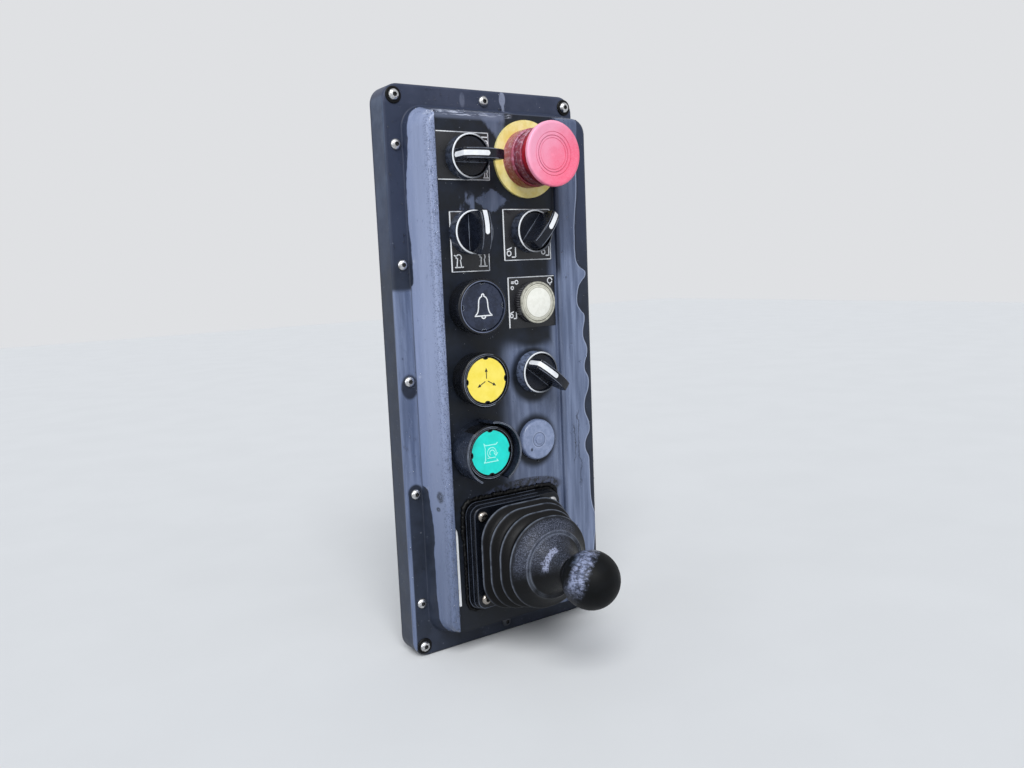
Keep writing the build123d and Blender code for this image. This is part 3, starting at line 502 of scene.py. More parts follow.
def bell_plastic():
    """Navy cap and collar front of the bell button, with a fine pale line round them, painted as a highlight strongest
    on the left.
    """
    g = Graph("bell_plastic")
    radius = g.from_axis("left", "third")
    mottle = g.noise(5.0, 5, 0.6).ramp()
    front = g.h.ramp(LARGE_CAP_TOP - 1.0, LARGE_CAP_TOP - 0.4)
    line = front * radius.line(17.35, 0.16, 0.15) * g.x.ramp(COLUMNS["left"] + 14.0, COLUMNS["left"] - 6.0, 0.35)
    navy = g.mix(mottle, "#1c2231", "#2c3347")
    colour = g.mix(line, g.mix(front * radius.ramp(17.5, 17.3), "#0e1016", navy), "#868fa8")
    g.finish(colour, mottle.ramp(0.0, 1.0, 0.2, 0.32), g.noise(0.5), 0.1, 0.05, Specular_IOR_Level=0.35)


INSERT_R = 15.4
# Notches round an insert: place from its axis and half sizes
NOTCHES = ((0, 15.6, 2.28, 1.5), (0, -15.6, 2.28, 1.5), (15.6, 0, 1.5, 2.28), (-15.6, 0, 1.5, 2.28))


def insert_plastic(name, low, high, column, row):
    """Coloured insert of a cap, black outside a wavering ring round its axis and in four notches."""
    g = Graph(name)
    x, z = axis_of(column, row)
    dark = (g.from_axis(column, row) + g.wander(0.5, 1.1, 2)).ramp(INSERT_R - 0.12, INSERT_R + 0.12)
    for dx, dz, half_x, half_z in NOTCHES:
        dark = dark | g.oval(x + dx, z + dz, half_x, half_z, 0.08)
    colour = g.mix(dark, g.mix(g.noise(7.0, 5, 0.6).ramp(), low, high), "#0d0e11")
    g.finish(colour, g.noise(3.0, 4).ramp(0.3, 0.7, 0.28, 0.42), g.noise(0.4), 0.08, 0.05)


def stop_red():
    """Satin red of the emergency stop's head, its front pink and painted lighter towards the upper left as light, its
    lip streaked pale as a painted sheen, and its lower side darker as painted shade.
    """
    g = Graph("stop_red")
    x, z = axis_of("right", "first")
    across, up = g.x - x, g.z - z
    mottle = g.noise(8.0, 5).ramp()
    fine = g.noise(0.9, 4, 0.75).ramp(0.35, 0.65)
    lit = (up * 0.6 - across * 0.8 + mottle * 7.0).ramp(-15.0, 24.0)
    # groove: painted shade in the groove on the front
    groove = g.from_axis("right", "first").line(12.0, 0.2, 0.2)
    face = g.layers(g.mix(lit, "#e65c7b", "#f4a1bd"), (fine * 0.2, "#f0b0c4"), (groove * 0.5, "#9c3656"))
    colour = g.layers(
        g.mix(g.noise(2.4, 5, 0.7, (1, 2.5, 1)).ramp(0.5, 0.58) * 0.75, "#964056", "#c9a0b4"),
        (g.h.ramp(STOP_TOP - 9.2, STOP_TOP - 8.6), "#b4142a"),
        (g.noise(1.0, 3, stretch=(12, 1, 12)).ramp(0.45, 0.56) * 0.5, "#4f0a16"),
        # painted shade on the lower side
        ((up + mottle * 5.0).ramp(3.0, -13.0) * 0.7, "#4c121b"),
        (g.h.ramp(STOP_TOP - 2.0, STOP_TOP - 1.2), "#c62a45"),
        (g.h.ramp(STOP_TOP - 1.0, STOP_TOP), face),
    )
    g.finish(colour, g.noise(2.5, 4).ramp(0.3, 0.7, 0.3, 0.45), fine - groove * 3.0, 0.15, 0.06)


def stop_dark_red():
    """Dark red of the collar, purple and paler above as a painted sheen of the water standing on it, and darker below
    as painted shade.
    """
    g = Graph("stop_dark_red")
    rings = g.noise(1.0, 3, stretch=(12, 1, 12)).ramp(0.42, 0.6)
    pale_sheen_spots = g.noise(3.0, 5, 0.7, (1, 2, 1)).ramp(0.48, 0.6)
    # lower: painted shade, darker below the control's axis
    lower = (g.z - ROWS["first"] + pale_sheen_spots * 4.0).ramp(0.0, -14.0)
    colour = g.layers(g.mix(pale_sheen_spots * 0.7, "#a04a60", "#c493a8"), (lower, "#7e1a28"), (rings * 0.28, "#4a1420"))
    g.finish(colour, g.noise(3.0, 4).ramp(0.3, 0.7, 0.22, 0.36), rings, 0.3, 0.12)


def black_rubber(name, attribute=None):
    """Grained black rubber, wet, with painted light: highlights along the fold tops, fold sides lighter towards the
    upper left, painted shade in the hollows between folds, and a painted sheen with glints of water drops on its upper
    left and on the neck.
    """
    g = Graph(name, attribute)
    mottle = g.noise(9.0, 5, 0.7)
    across, up = g.x - JOYSTICK[0], g.z - JOYSTICK[1]
    lean = up * 1.1 - across * 0.55
    ridges = [FACE + height for height, _, _ in BELLOWS_RIDGES]
    folds = reduce(or_, [g.h.span(ridge - 3.6, ridge - 2.0, ridge + 0.5, ridge + 0.9) for ridge in ridges])
    fold_gap_shade = (1.0 - folds) * g.h.ramp(FACE + 45.0, FACE + 44.0)
    lip_highlights = reduce(or_, [g.h.line(ridge + 0.2, 0.3, 0.45) for ridge in ridges + [FACE + BELLOWS_STEP]])
    lip_highlights = lip_highlights * g.noise(6.0, 4).ramp(0.3, 0.6, 0.25) * lean.ramp(-32.0, 22.0, 0.08)
    # upper: painted sheen of water on the cone's upper left
    upper = g.h.ramp(FACE + 46.0, FACE + 47.5) * (lean + g.wander(18.0, 10.0, 4)).ramp(4.0, 22.0)
    bead_glints = upper * g.noise(0.6, 3, 0.75).ramp(0.52, 0.6)
    # neck: a painted highlight on the neck's upper left
    neck = (g.h + g.wander(5.0, 4.0, 4, 0.6)).line(FACE + 60.8, 1.9, 0.5) * across.ramp(-3.0, -5.0)
    neck = neck * up.ramp(-1.0, 2.5) * g.noise(1.0, 4).ramp(0.44, 0.52, 0.25)
    colour = g.layers(
        g.mix(mottle.ramp(), "#040507", "#0b0d11"),
        # fold sides painted lighter towards the upper left
        (folds * lean.ramp(-45.0, 15.0, 0.2), g.mix(mottle, "#0d1016", "#1d222c")),
        (fold_gap_shade * 0.8, "#010102"),
        (lip_highlights, "#666c78"),
        (upper * 0.4, "#363b49"),
        (bead_glints * 0.75, "#6f7589"),
        (neck * 0.85, "#8f95ae"),
    )
    height = g.cells(0.9) * 0.8 + g.noise(0.35) * 0.6
    g.finish(colour, mottle.ramp(0.3, 0.7, 0.4, 0.55), height, 0.5, 0.14, Specular_IOR_Level=0.18)


def steel(name, clean, dull):
    """Turned steel with a patchy tarnish."""
    g = Graph(name)
    tarnish = g.noise(1.4, 4, 0.65).ramp(0.45, 0.7)
    turned_lines = g.noise(0.25, 3, stretch=(1, 6, 1))
    g.finish(g.mix(tarnish, clean, dull), g.blend(tarnish, 0.24, 0.42), turned_lines, 0.15, 0.04, Metallic=1.0)


def water():
    """Clear water of the standing drops."""
    g = Graph("water")
    ripple = g.noise(1.2)
    colour = g.mix(ripple, "#f2f6ff", "#ffffff")
    g.finish(colour, ripple.ramp(0.3, 0.7, 0.02, 0.05), ripple, 0.05, 0.05, Transmission_Weight=1.0, IOR=1.33)


# Plain mouldings: name, darker and lighter colour, then range of roughness, size of grain and its strength
MOULDED = (
    ("yellow_plastic", "#e6d274", "#f5e9a8", (0.4, 0.55), 0.5, 0.2),
    ("contact_plastic", "#b4b5b0", "#c6c6c0", (0.4, 0.55), 0.5, 0.2),
    ("label_film", "#0f1014", "#1a1b21", (0.25, 0.4), 0.6, 0.1),
    ("print_white", "#d6d8dc", "#eceef0"),
    ("worn_print", "#a3a8b2", "#eceef1"),
    ("print_black", "#141414", "#1f1f1f"),
    ("print_cyan", "#8fe9df", "#b5f4ec"),
    ("socket_dark", "#060606", "#151515", (0.4, 0.6)),
    ("shaded_steel", "#23272f", "#3d424d", (0.4, 0.6), 0.8, 0.4),
    ("edge_highlight", "#2c313c", "#4a5160"),
    ("joint_light", "#4a505d", "#868d9c", (0.3, 0.45)),
)


def make_materials():
    for make in (
        housing_plastic, rim_grey, ball_sheen, grey_lens, cream_plastic, grey_plastic, bell_plastic, stop_red,
        stop_dark_red, water,
    ):
        make()
    black_plastic("black_plastic")
    black_plastic("bezel_wet_sheen", film=0.8)
    black_plastic("bezel_damp_sheen", film=0.22)
    black_plastic("guard_plastic", "#151a24", "#232936")
    black_plastic("knob_plastic", "#0c0f17", "#161b27")
    black_plastic("frame_plastic", "#090b10", "#11141b")
    insert_plastic("yellow_insert", "#efd84c", "#f5e164", "left", "fourth")
    insert_plastic("cyan_insert", "#00cfc0", "#08dccf", "left", "fifth")
    black_rubber("black_rubber")
    black_rubber("bellows_rubber", REST_PLACE)
    steel("steel", "#cfd0d2", "#8f8a82")
    steel("brown_steel", "#a8a29b", "#6a625a")
    for row in MOULDED:
        moulded(*row)


# CAD nodes whose material isn't named after their slot in the record
OWN_MATERIAL = {
    "selector_1_left_bezel": "bezel_damp_sheen",
    "selector_2_left_bezel": "bezel_damp_sheen",
    "selector_2_right_bezel": "bezel_damp_sheen",
    "selector_4_right_bezel": "bezel_wet_sheen",
    "cyan_button_guard": "guard_plastic",
    "joystick_frame": "frame_plastic",
    "joystick_knob": "ball_sheen",
    "yellow_button_cap": "yellow_insert",
    "cyan_button_cap": "cyan_insert",
    "bell_button_cap": "bell_plastic",
    "bell_button_bezel": "bell_plastic",
}


def dress_nodes():
    """Gives every CAD node its finish."""
    for subpart in frame["record"]["subparts"]:
        name, slot = subpart["node"], subpart["material_slot"]
        own = "knob_plastic" if name.startswith("selector") and name.endswith("knob") else slot
        finishes = frame["nodes"][name].data.materials
        finishes.clear()
        finishes.append(materials[OWN_MATERIAL.get(name, own)])


# Meshes

class Build:
    """Vertices and faces of one piece, gathered before its object is made."""

    def __init__(self):
        self.vertices, self.faces = [], []

    def skin(self, rings, first=True, last=True, loop=False):
        """A skin through closed rings with equally many points, filled at its ends or joined into a loop."""
        start, count, total = len(self.vertices), len(rings[0]), len(rings) * len(rings[0])
        for ring in rings:
            self.vertices.extend(ring)
        for here in range(start, start + total - (0 if loop else count), count):
            there = start + (here + count - start) % total
            for n in range(count):
                after = (n + 1) % count
                self.faces.append((here + n, here + after, there + after, there + n))
        if first and not loop:
            self.faces.append(tuple(reversed(range(start, start + count))))
        if last and not loop:
            self.faces.append(tuple(range(start + total - count, start + total)))

    def object(self, name, finish, body, slot, smooth=40.0):
        """The piece, riding on its body, with edges sharp where they turn by more than smooth degrees."""
        mesh = bpy.data.meshes.new(name)
        mesh.from_pydata(self.vertices, [], self.faces)
        mesh.validate()
        mesh.materials.append(materials[finish])
        mesh.shade_smooth()
        mesh.set_sharp_from_angle(angle=math.radians(smooth))
        piece = add_object(name, mesh)
        if body:
            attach(piece, body)
        return piece


def surface_of(node):
    """A CAD node's surface, to be searched for points on it."""
    mesh = frame["nodes"][node].data
    return BVHTree.FromPolygons([v.co for v in mesh.vertices], [tuple(p.vertices) for p in mesh.polygons])


def circle(x, z, radius, h, count):
    """Ring of points round an axis, counterclockwise seen from the front. radius may be a function of the angle."""
    ring = []
    for n in range(count):
        angle = 2 * math.pi * n / count
        reach = radius(angle) if callable(radius) else radius
        ring.append(point(x + reach * math.cos(angle), z + reach * math.sin(angle), h))
    return ring


def squircle(half, corner_r):
    """Reach of a square with rounded corners by angle."""
    def reach(angle):
        across, up = sorted((abs(math.cos(angle)), abs(math.sin(angle))), reverse=True)
        centre = half - corner_r
        if half * up / across <= centre:
            return half / across
        along = centre * (across + up)
        return along + math.sqrt(max(0.0, along * along - 2 * centre * centre + corner_r * corner_r))
    return reach


def turned(build, x, z, rows, count=64, hollow=False):
    """Adds a turned form from rows of radius and height out of the panel, or a closed ring if hollow."""
    build.skin([circle(x, z, radius, h, count) for radius, h in rows], loop=hollow)


def band(build, path, half_width, side):
    """Adds a flat band along a path in space, side being the direction across it."""
    start, count = len(build.vertices), len(path)
    for sign in (1, -1):
        build.vertices.extend(spot + side * half * sign for spot, half in zip(path, half_width))
    for n in range(start, start + count - 1):
        build.faces.append((n, n + 1, n + count + 1, n + count))


def stroke(build, line, width, h, thickness=0.12, closed=False):
    """Adds a flat line of printed colour from points (x, z), h being the surface it lies on."""
    spots = [Vector(spot) for spot in line]
    ways = [(after - spot).normalized() for spot, after in zip(spots, spots[1:] + spots[:1])]
    if not closed:
        ways[-1] = ways[-2]
    rings = []
    for n, (spot, way) in enumerate(zip(spots, ways)):
        mid = (way + ways[n - 1] if n or closed else way).normalized()
        across = Vector((-mid.y, mid.x)) * (width / 2 / max(0.35, mid.dot(way)))
        corners = (across, thickness), (across, -thickness), (-across, -thickness), (-across, thickness)
        rings.append([point(*(spot + out), h + rise) for out, rise in corners])
    build.skin(rings, loop=closed)


def arc(x, z, radius, start, end, count=14):
    """Points of an arc, angles in degrees counterclockwise from the right."""
    angles = [math.radians(start + (end - start) * n / (count - 1)) for n in range(count)]
    return [(x + radius * math.cos(a), z + radius * math.sin(a)) for a in angles]


# Screws

SCREW_X = 70.5
SCREW_Z = 192.0
SCREW_AROUND = 36
HEAD_ROWS = ((3.8, 0.0), (3.8, 0.25), (3.65, 0.8), (3.2, 1.4), (2.55, 1.85), (1.9, 2.1), (1.62, 2.15))
SOCKET_ACROSS = 2.9
SOCKET_DEPTH = 1.35
WASHER_ROWS = ((3.0, -0.1), (5.7, -0.1), (5.7, 0.5), (5.2, 0.95), (3.0, 0.95))
FRAME_SCREW = 30.0
FRAME_SEAT = FACE + 10.2


def screw_head(heads, sockets, x, z, seat, turn):
    """Button head with a hexagonal socket, painted dark as shade, standing on seat."""
    top = seat + HEAD_ROWS[-1][1]

    def side_of_socket(angle):
        return SOCKET_ACROSS / 2 / math.cos((angle + turn) % (math.pi / 3) - math.pi / 6)

    rim, foot = (circle(x, z, side_of_socket, h, SCREW_AROUND) for h in (top, top - SOCKET_DEPTH))
    heads.skin([circle(x, z, radius, seat + rise, SCREW_AROUND) for radius, rise in HEAD_ROWS] + [rim], last=False)
    sockets.skin([rim, foot, circle(x, z, 0.3, top - SOCKET_DEPTH - 0.35, SCREW_AROUND)], first=False)


def add_screws():
    rng = random.Random(11)
    corners = [(x, z) for x in (-SCREW_X, SCREW_X) for z in (-SCREW_Z, SCREW_Z)]
    top, bottom = (0, SCREW_Z), (0, -SCREW_Z)
    heads, dull, washers, sockets, frame_heads, bright = (Build() for _ in range(6))
    for x, z in corners + [top, bottom] + [(-SCREW_X, z) for z in (-160.0, -80.0, 0.0, 80.0, 160.0)]:
        seat = FLANGE + (0.95 if (x, z) in corners else 0.05)
        # the bottom screw is painted darker as shade
        screw_head(dull if (x, z) == bottom else heads, sockets, x, z, seat, rng.uniform(0, math.pi))
    for x, z in corners:
        turned(washers, x, z, [(radius, FLANGE + rise) for radius, rise in WASHER_ROWS], 40, hollow=True)
    for x in (-FRAME_SCREW, FRAME_SCREW):
        for z in (-FRAME_SCREW, FRAME_SCREW):
            build = bright if x > 0 and z > 0 else frame_heads
            screw_head(build, sockets, JOYSTICK[0] + x, JOYSTICK[1] + z, FRAME_SEAT, rng.uniform(0, math.pi))
    heads.object("mounting_screws", "steel", PANEL, "steel")
    dull.object("shaded_screw", "shaded_steel", PANEL, "steel")
    washers.object("corner_washers", "black_rubber", PANEL, "black_rubber")
    frame_heads.object("joystick_screws", "brown_steel", PANEL, "steel")
    bright.object("bright_joystick_screw", "steel", PANEL, "steel")
    sockets.object("screw_sockets", "socket_dark", PANEL, "steel", 25.0)


# Labels: left, right, bottom and top edge, and which of its edges carry a white line
LABELS = (
    ("label_selector_1", -53.0, -11.2, 134.6, 167.2, "tbr"),
    ("label_selector_2_left", -45.6, -14.4, 73.2, 114.8, "tblr"),
    ("label_selector_2_right", -2.8, 38.4, 79.6, 116.2, "tblr"),
    ("label_white_button", -0.9, 40.4, 32.0, 68.8, "tl"),
)
LABEL_TOP = FACE + 0.5
LABEL_CORNER = 0.8
LABEL_BEVEL = 0.35
LINE_INSET = 0.7
LINE_WIDTH = 0.6
LEFT_LINE_WIDTH = 0.9375


def label_ring(left, right, bottom, top, shrink, h):
    """Outline of a label plate with rounded corners, shrunk on every side."""
    reach = LABEL_CORNER + shrink
    ring = []
    for n, (x, z) in enumerate(((left, bottom), (right, bottom), (right, top), (left, top))):
        x += reach if x == left else -reach
        z += reach if z == bottom else -reach
        ring += [point(*spot, h) for spot in arc(x, z, LABEL_CORNER, 180 + 90 * n, 270 + 90 * n, 5)]
    return ring


def add_labels():
    lines, bright = Build(), Build()
    for name, *box, edges in LABELS:
        plate = Build()
        levels = (0, FACE - 0.3), (0, LABEL_TOP - 0.2), (LABEL_BEVEL, LABEL_TOP)
        plate.skin([label_ring(*box, shrink, h) for shrink, h in levels])
        plate.object(name, "label_film", PANEL, "black_plastic")
        left, right, bottom, top = (edge + inset * LINE_INSET for edge, inset in zip(box, (1, -1, 1, -1)))
        sides = {
            "t": ((left, top), (right, top)),
            "b": ((left, bottom), (right, bottom)),
            "r": ((right, bottom), (right, top)),
        }
        if "l" in edges:
            stroke(bright, ((left, bottom), (left, top)), LEFT_LINE_WIDTH, LABEL_TOP + 0.02)
        for edge in edges.replace("l", ""):
            stroke(lines, sides[edge], LINE_WIDTH, LABEL_TOP)
    lines.object("label_lines", "worn_print", PANEL, "cream_plastic")
    bright.object("label_edges", "print_white", PANEL, "cream_plastic")


# Generic pictograms, as lines of points in mm round their own centre
POST_AND_HOOK = (
    [(-2.6, -3.6), (3.0, -3.6)],
    [(-1.4, -3.6), (-0.8, 1.6)],
    [(1.6, -3.6), (1.0, 0.6)],
    arc(0.0, 1.8, 1.7, 200, -40),
    [(-3.0, 3.2), (-1.2, 2.4)],
)
ARM_AND_BIN = (
    [(3.2, -3.4), (3.2, 2.8)],
    [(3.2, -3.4), (0.2, -3.4)],
    arc(-1.8, -1.0, 1.5, 0, 360, 18),
    [(-3.4, 1.2), (0.4, 2.6)],
)
ARROW_UP_DOWN = (
    [(-2.8, 3.0), (2.8, 3.0)],
    [(-1.4, 1.2), (-1.4, -3.4)],
    arc(1.2, -1.2, 1.5, 100, 460, 18),
    [(-2.4, -2.2), (-1.4, -3.6), (-0.4, -2.2)],
)
SMALL_RING = (arc(0, 0, 2.0, 0, 345, 22), [(-0.4, -2.2), (0.4, -3.4)])
WHEEL_AND_ARROW = (
    [(-3.2, 0.6), (0.2, 0.6)],
    [(-3.2, -0.6), (-0.4, -0.6)],
    arc(2.2, 0.2, 1.5, 0, 345, 18),
    arc(-2.2, -4.4, 1.2, 0, 345, 16),
)
# Which one stands where across and up, and its scale
PICTOGRAMS = (
    (POST_AND_HOOK, -39.4, 81.2, 1.2),
    (POST_AND_HOOK, -20.4, 81.4, 1.2),
    (ARM_AND_BIN, 3.6, 86.2, 1.1),
    (ARM_AND_BIN, 33.0, 86.4, 1.0),
    (ARROW_UP_DOWN, -14.8, 161.2, 0.85),
    (POST_AND_HOOK, -14.8, 139.6, 0.8),
    (WHEEL_AND_ARROW, 5.0, 64.6, 0.85),
    (SMALL_RING, 36.0, 64.8, 1.0),
    (ARM_AND_BIN, 3.2, 42.0, 0.8),
)


def add_pictograms():
    marks = Build()
    for lines, x, z, scale in PICTOGRAMS:
        for line in lines:
            stroke(marks, [(x + scale * a, z + scale * b) for a, b in line], 0.75, LABEL_TOP)
    marks.object("label_pictograms", "print_white", PANEL, "cream_plastic")


# Marks on the caps

BELL_SIDE = [(0.9, 7.0), (2.4, 6.2), (3.3, 4.6), (3.6, 2.2), (3.8, -0.6), (4.3, -3.0), (5.2, -4.6), (6.5, -5.8)]
BELL_NOTCH = [(-2.0, 16.0), (-0.8, 14.9), (0, 15.5), (0.8, 14.9), (2.0, 16.0)]
CONTAINER = (
    [
        (5.6, 6.6), (4.4, 5.4), (-4.2, 5.4), (-5.4, 6.6), (-4.6, 3.4), (-4.6, -4.6), (-5.6, -6.4), (5.4, -6.4),
        (4.4, -5.0),
    ],
    arc(0.6, 0.0, 3.5, 250, -20, 16),
    arc(0.8, -0.2, 1.9, 230, 0, 12),
    [(5.4, -0.6), (3.9, -2.4), (2.4, -0.6)],
    [(-3.0, -3.6), (3.6, -3.6)],
)


def at(column, row, line, turn=0.0):
    """A line of points moved to a control's axis and turned, in degrees."""
    c, s = math.cos(math.radians(turn)), math.sin(math.radians(turn))
    return [(COLUMNS[column] + c * x - s * z, ROWS[row] + s * x + c * z) for x, z in line]


BELL = (
    [(-x, z) for x, z in reversed(BELL_SIDE)] + arc(0, 7.6, 0.95, 150, 30, 5) + BELL_SIDE,
    [(-7.0, -6.1), (7.0, -6.1)],
    arc(0, -6.4, 1.5, 180, 360, 9),
)
ARROW = (([(0, 1.2), (0, 6.8)], 0.55), ([(-0.8, 5.9), (0, 7.8), (0.8, 5.9)], 0.6))
# What stands on the left caps: name, finish, slot, button, its row, top and thickness, then line, width and turn
CAP_MARKS = (
    ("bell_mark", "print_white", "cream_plastic", "bell", "third", LARGE_CAP_TOP, 0.12,
     [(line, 0.8, 0) for line in BELL]),
    ("bell_notches", "joint_light", "black_plastic", "bell", "third", LARGE_CAP_TOP, 0.05,
     [(BELL_NOTCH, 0.3, turn) for turn in (0, 90, 180, 270)]),
    ("arrow_marks", "print_black", "black_plastic", "yellow", "fourth", LARGE_CAP_TOP, 0.12,
     [(line, width, turn) for turn in (0, 120, 240) for line, width in ARROW]),
    ("container_mark", "print_cyan", "cyan_plastic", "cyan", "fifth", GUARDED_CAP_TOP, 0.12,
     [(line, 0.6, 0) for line in CONTAINER]),
)


def add_cap_marks():
    for name, finish, slot, button, row, top, thickness, strokes in CAP_MARKS:
        marks = Build()
        for line, width, turn in strokes:
            stroke(marks, at("left", row, line, turn), width, top, thickness)
        marks.object(name, finish, button + "_button_plunger", slot)


# Selector handles: node, its column and row, where its long end points in degrees clockwise from up,
# which end the white mark starts on (1 the long one) and where along the handle it stops
HANDLES = (
    ("selector_1_left", "left", "first", 90.0, -1, 4.8),
    ("selector_2_left", "left", "second", 180.0, -1, 2.3),
    ("selector_2_right", "right", "second", 40.0, 1, 1.0),
    ("selector_4_right", "right", "fourth", 128.0, -1, 4.0),
)
HANDLE_HALF = 3.75
DISC_TOP = BEZEL_TOP - 1.1
MARK_HALF = 1.65
MARK_LIFT = 0.07


def handle(name, column, row, turn):
    """Surface of a selector's knob, its axis, and the directions along and across its handle."""
    angle = math.radians(turn)
    along = Vector((math.sin(angle), 0, math.cos(angle)))
    side = Vector((math.cos(angle), 0, -math.sin(angle)))
    return surface_of(f"{name}_knob"), point(*axis_of(column, row), 0), along, side


def handle_path(tree, axis, along, end, stop):
    """Points over a handle from low on one end wall to stop on its top, found on the CAD surface."""
    path = []
    lowest, rise = (1.0, 1.08) if end < 0 else (8.2, 0.42)
    for step in range(12):
        height = OUT * (BEZEL_TOP + lowest + step * rise) * MM
        spot, normal, _, _ = tree.ray_cast(axis + along * end * 0.03 + height, -along * end)
        if spot is not None and abs((spot - axis).dot(along)) > 0.012:
            path.append(spot + normal * MARK_LIFT * MM)
    first = (path[-1] - axis).dot(along) / MM - end * 0.25
    count = 26
    for n in range(count):
        r = first + (stop - first) * n / (count - 1)
        spot, normal, _, _ = tree.ray_cast(axis + along * r * MM + OUT * 0.1, -OUT)
        path.append(spot + normal * MARK_LIFT * MM)
    return path


def add_handle_marks():
    """White mark over each handle, round at both ends."""
    for name, column, row, turn, end, stop in HANDLES:
        tree, axis, along, side = handle(name, column, row, turn)
        path = handle_path(tree, axis, along, end, stop)
        lengths = [0.0]
        for before, after in zip(path, path[1:]):
            lengths.append(lengths[-1] + (after - before).length / MM)
        near = [min(length, lengths[-1] - length, MARK_HALF) for length in lengths]
        widths = [math.sqrt(max(0.02, MARK_HALF ** 2 - (MARK_HALF - reach) ** 2)) * MM for reach in near]
        mark = Build()
        band(mark, path, widths, side)
        mark.object(f"{name}_mark", "print_white", f"{name}_switch", "cream_plastic", 80.0)


def add_handle_highlights():
    """Fine light lines, painted highlights, where each handle meets its disc, and along the edges of its top."""
    for name, column, row, turn, *_ in HANDLES:
        tree, axis, along, side = handle(name, column, row, turn)
        build = Build()
        for sign in (-1, 1):
            foot = axis + (side * sign * (HANDLE_HALF + 0.35) + OUT * (DISC_TOP + 0.06)) * MM
            path = [foot + along * r * MM for r in (-12.2, -6, 0, 6, 12.2)]
            band(build, path, [0.0001, 0.00022, 0.00022, 0.00022, 0.0001], side)
            edge = []
            for step in range(-7, 8):
                start = axis + (along * step * 1.7 + side * sign * (HANDLE_HALF - 0.75)) * MM + OUT * 0.1
                spot, normal, _, _ = tree.ray_cast(start, -OUT)
                if spot is not None and -spot.y / MM > BEZEL_TOP + 8:
                    edge.append(spot + normal * MARK_LIFT * MM)
            band(build, edge, [0.00016] * len(edge), side)
        build.object(f"{name}_joints", "joint_light", f"{name}_switch", "black_plastic")


RIM_ROWS = ((13.7, -0.2), (13.75, 0.08), (14.0, 0.2), (14.45, 0.2), (14.72, 0.02), (14.78, -0.35), (14.4, -0.4))


def add_rims():
    """Moulded edge round the front of each selector's bezel, grey with a painted highlight."""
    for name, column, row, *_ in HANDLES:
        rim = Build()
        turned(rim, *axis_of(column, row), [(radius, BEZEL_TOP + rise) for radius, rise in RIM_ROWS], 96, hollow=True)
        rim.object(f"{name}_rim", "rim_grey", PANEL, "steel")


def add_collar_highlights():
    """Fine light edges, painted highlights, on the fronts of two collars and of the guard's arc walls."""
    build = Build()
    for row, cap_top in (("fourth", LARGE_CAP_TOP), ("fifth", GUARDED_CAP_TOP)):
        stroke(build, arc(*axis_of("left", row), 17.9, 70, 290, 60), 0.34, cap_top + 0.5, 0.05)
        stroke(build, arc(*axis_of("left", row), 16.85, 0, 354, 60), 0.22, cap_top + 0.5, 0.05, closed=True)
    guard = axis_of("left", "fifth")
    for start, end in ((-60.0, 90.0), (135.0, 240.0)):
        outline = arc(*guard, 21.8, start, end, 40) + arc(*guard, 21.1, end, start, 40)
        stroke(build, outline, 0.3, GUARD_TOP, 0.05, closed=True)
    build.object("collar_highlights", "joint_light", PANEL, "black_plastic")


# Joystick

BELLOWS_AROUND = 144
# Height over the control face, half width and share of it that is corner radius
BELLOWS_FOOT = [(3.0, 30.2, 0.59), (10.2, 30.2, 0.59), (12.6, 30.8, 0.59)]
# Height and radius of the round part, past the last fold
BELLOWS_NECK = (
    (49.2, 27.0), (51.0, 24.9), (BELLOWS_STEP - 0.4, 24.0), (BELLOWS_STEP + 0.4, 23.5), (BELLOWS_STEP + 0.6, 22.7),
    (BELLOWS_STEP - 0.2, 21.9), (53.4, 20.6), (55.6, 18.2), (58.6, 15.6), (62.0, 13.4), (66.0, 11.6), (68.0, 11.0),
    (69.6, 10.6), (70.7, 10.2), (71.3, 9.6), (71.3, 7.4),
)


def bellows_rows():
    """Profile of the bellows from its foot in the frame to its neck, with round-lipped folds."""
    rows = list(BELLOWS_FOOT)
    previous = None
    for height, half, share in BELLOWS_RIDGES:
        if previous:
            low = (previous[0] + height) / 2 - 0.6
            dip = (previous[1] + half) / 2 - 4.2
            mean = (previous[2] + share) / 2
            rows.append((previous[0] + 1.5, previous[1] - 2.6, previous[2]))
            rows += [(low + rise, dip + out, mean) for rise, out in ((-0.7, 0.25), (0.5, 0.0), (1.6, 0.5))]
        lip = (-2.2, -1.5), (-1.1, -0.35), (-0.3, 0.0), (0.35, -0.15), (0.9, -0.9)
        rows += [(height + rise, half + out, share) for rise, out in lip]
        previous = (height, half, share)
    return rows + [(47.0, 29.8, 0.97)] + [(height, radius, 1.0) for height, radius in BELLOWS_NECK]


def add_bellows():
    build = Build()
    x, z = JOYSTICK
    rings = []
    for height, half, share in bellows_rows():
        rings.append(circle(x, z, squircle(half, min(share, 0.999) * half), FACE + height, BELLOWS_AROUND))
    build.skin(rings, first=False, last=False)
    bellows = build.object("bellows_skin", "bellows_rubber", None, "black_rubber", 75.0)
    rest = bellows.data.attributes.new(REST_PLACE, "FLOAT_VECTOR", "POINT")
    rest.data.foreach_set("vector", [value for vertex in bellows.data.vertices for value in vertex.co])
    subdivide = bellows.modifiers.new("smooth", "SUBSURF")
    subdivide.levels = subdivide.render_levels = 1
    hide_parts("joystick_bellows")
    point(x, z, FACE + 10)
    point(x, z, FACE + 66)
    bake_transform(bellows)


# Half width, corner radius and height over the control face
FRAME_EDGES = ((38.8, 9.0, 2.0), (37.6, 7.6, 6.1), (36.4, 6.4, 10.2))


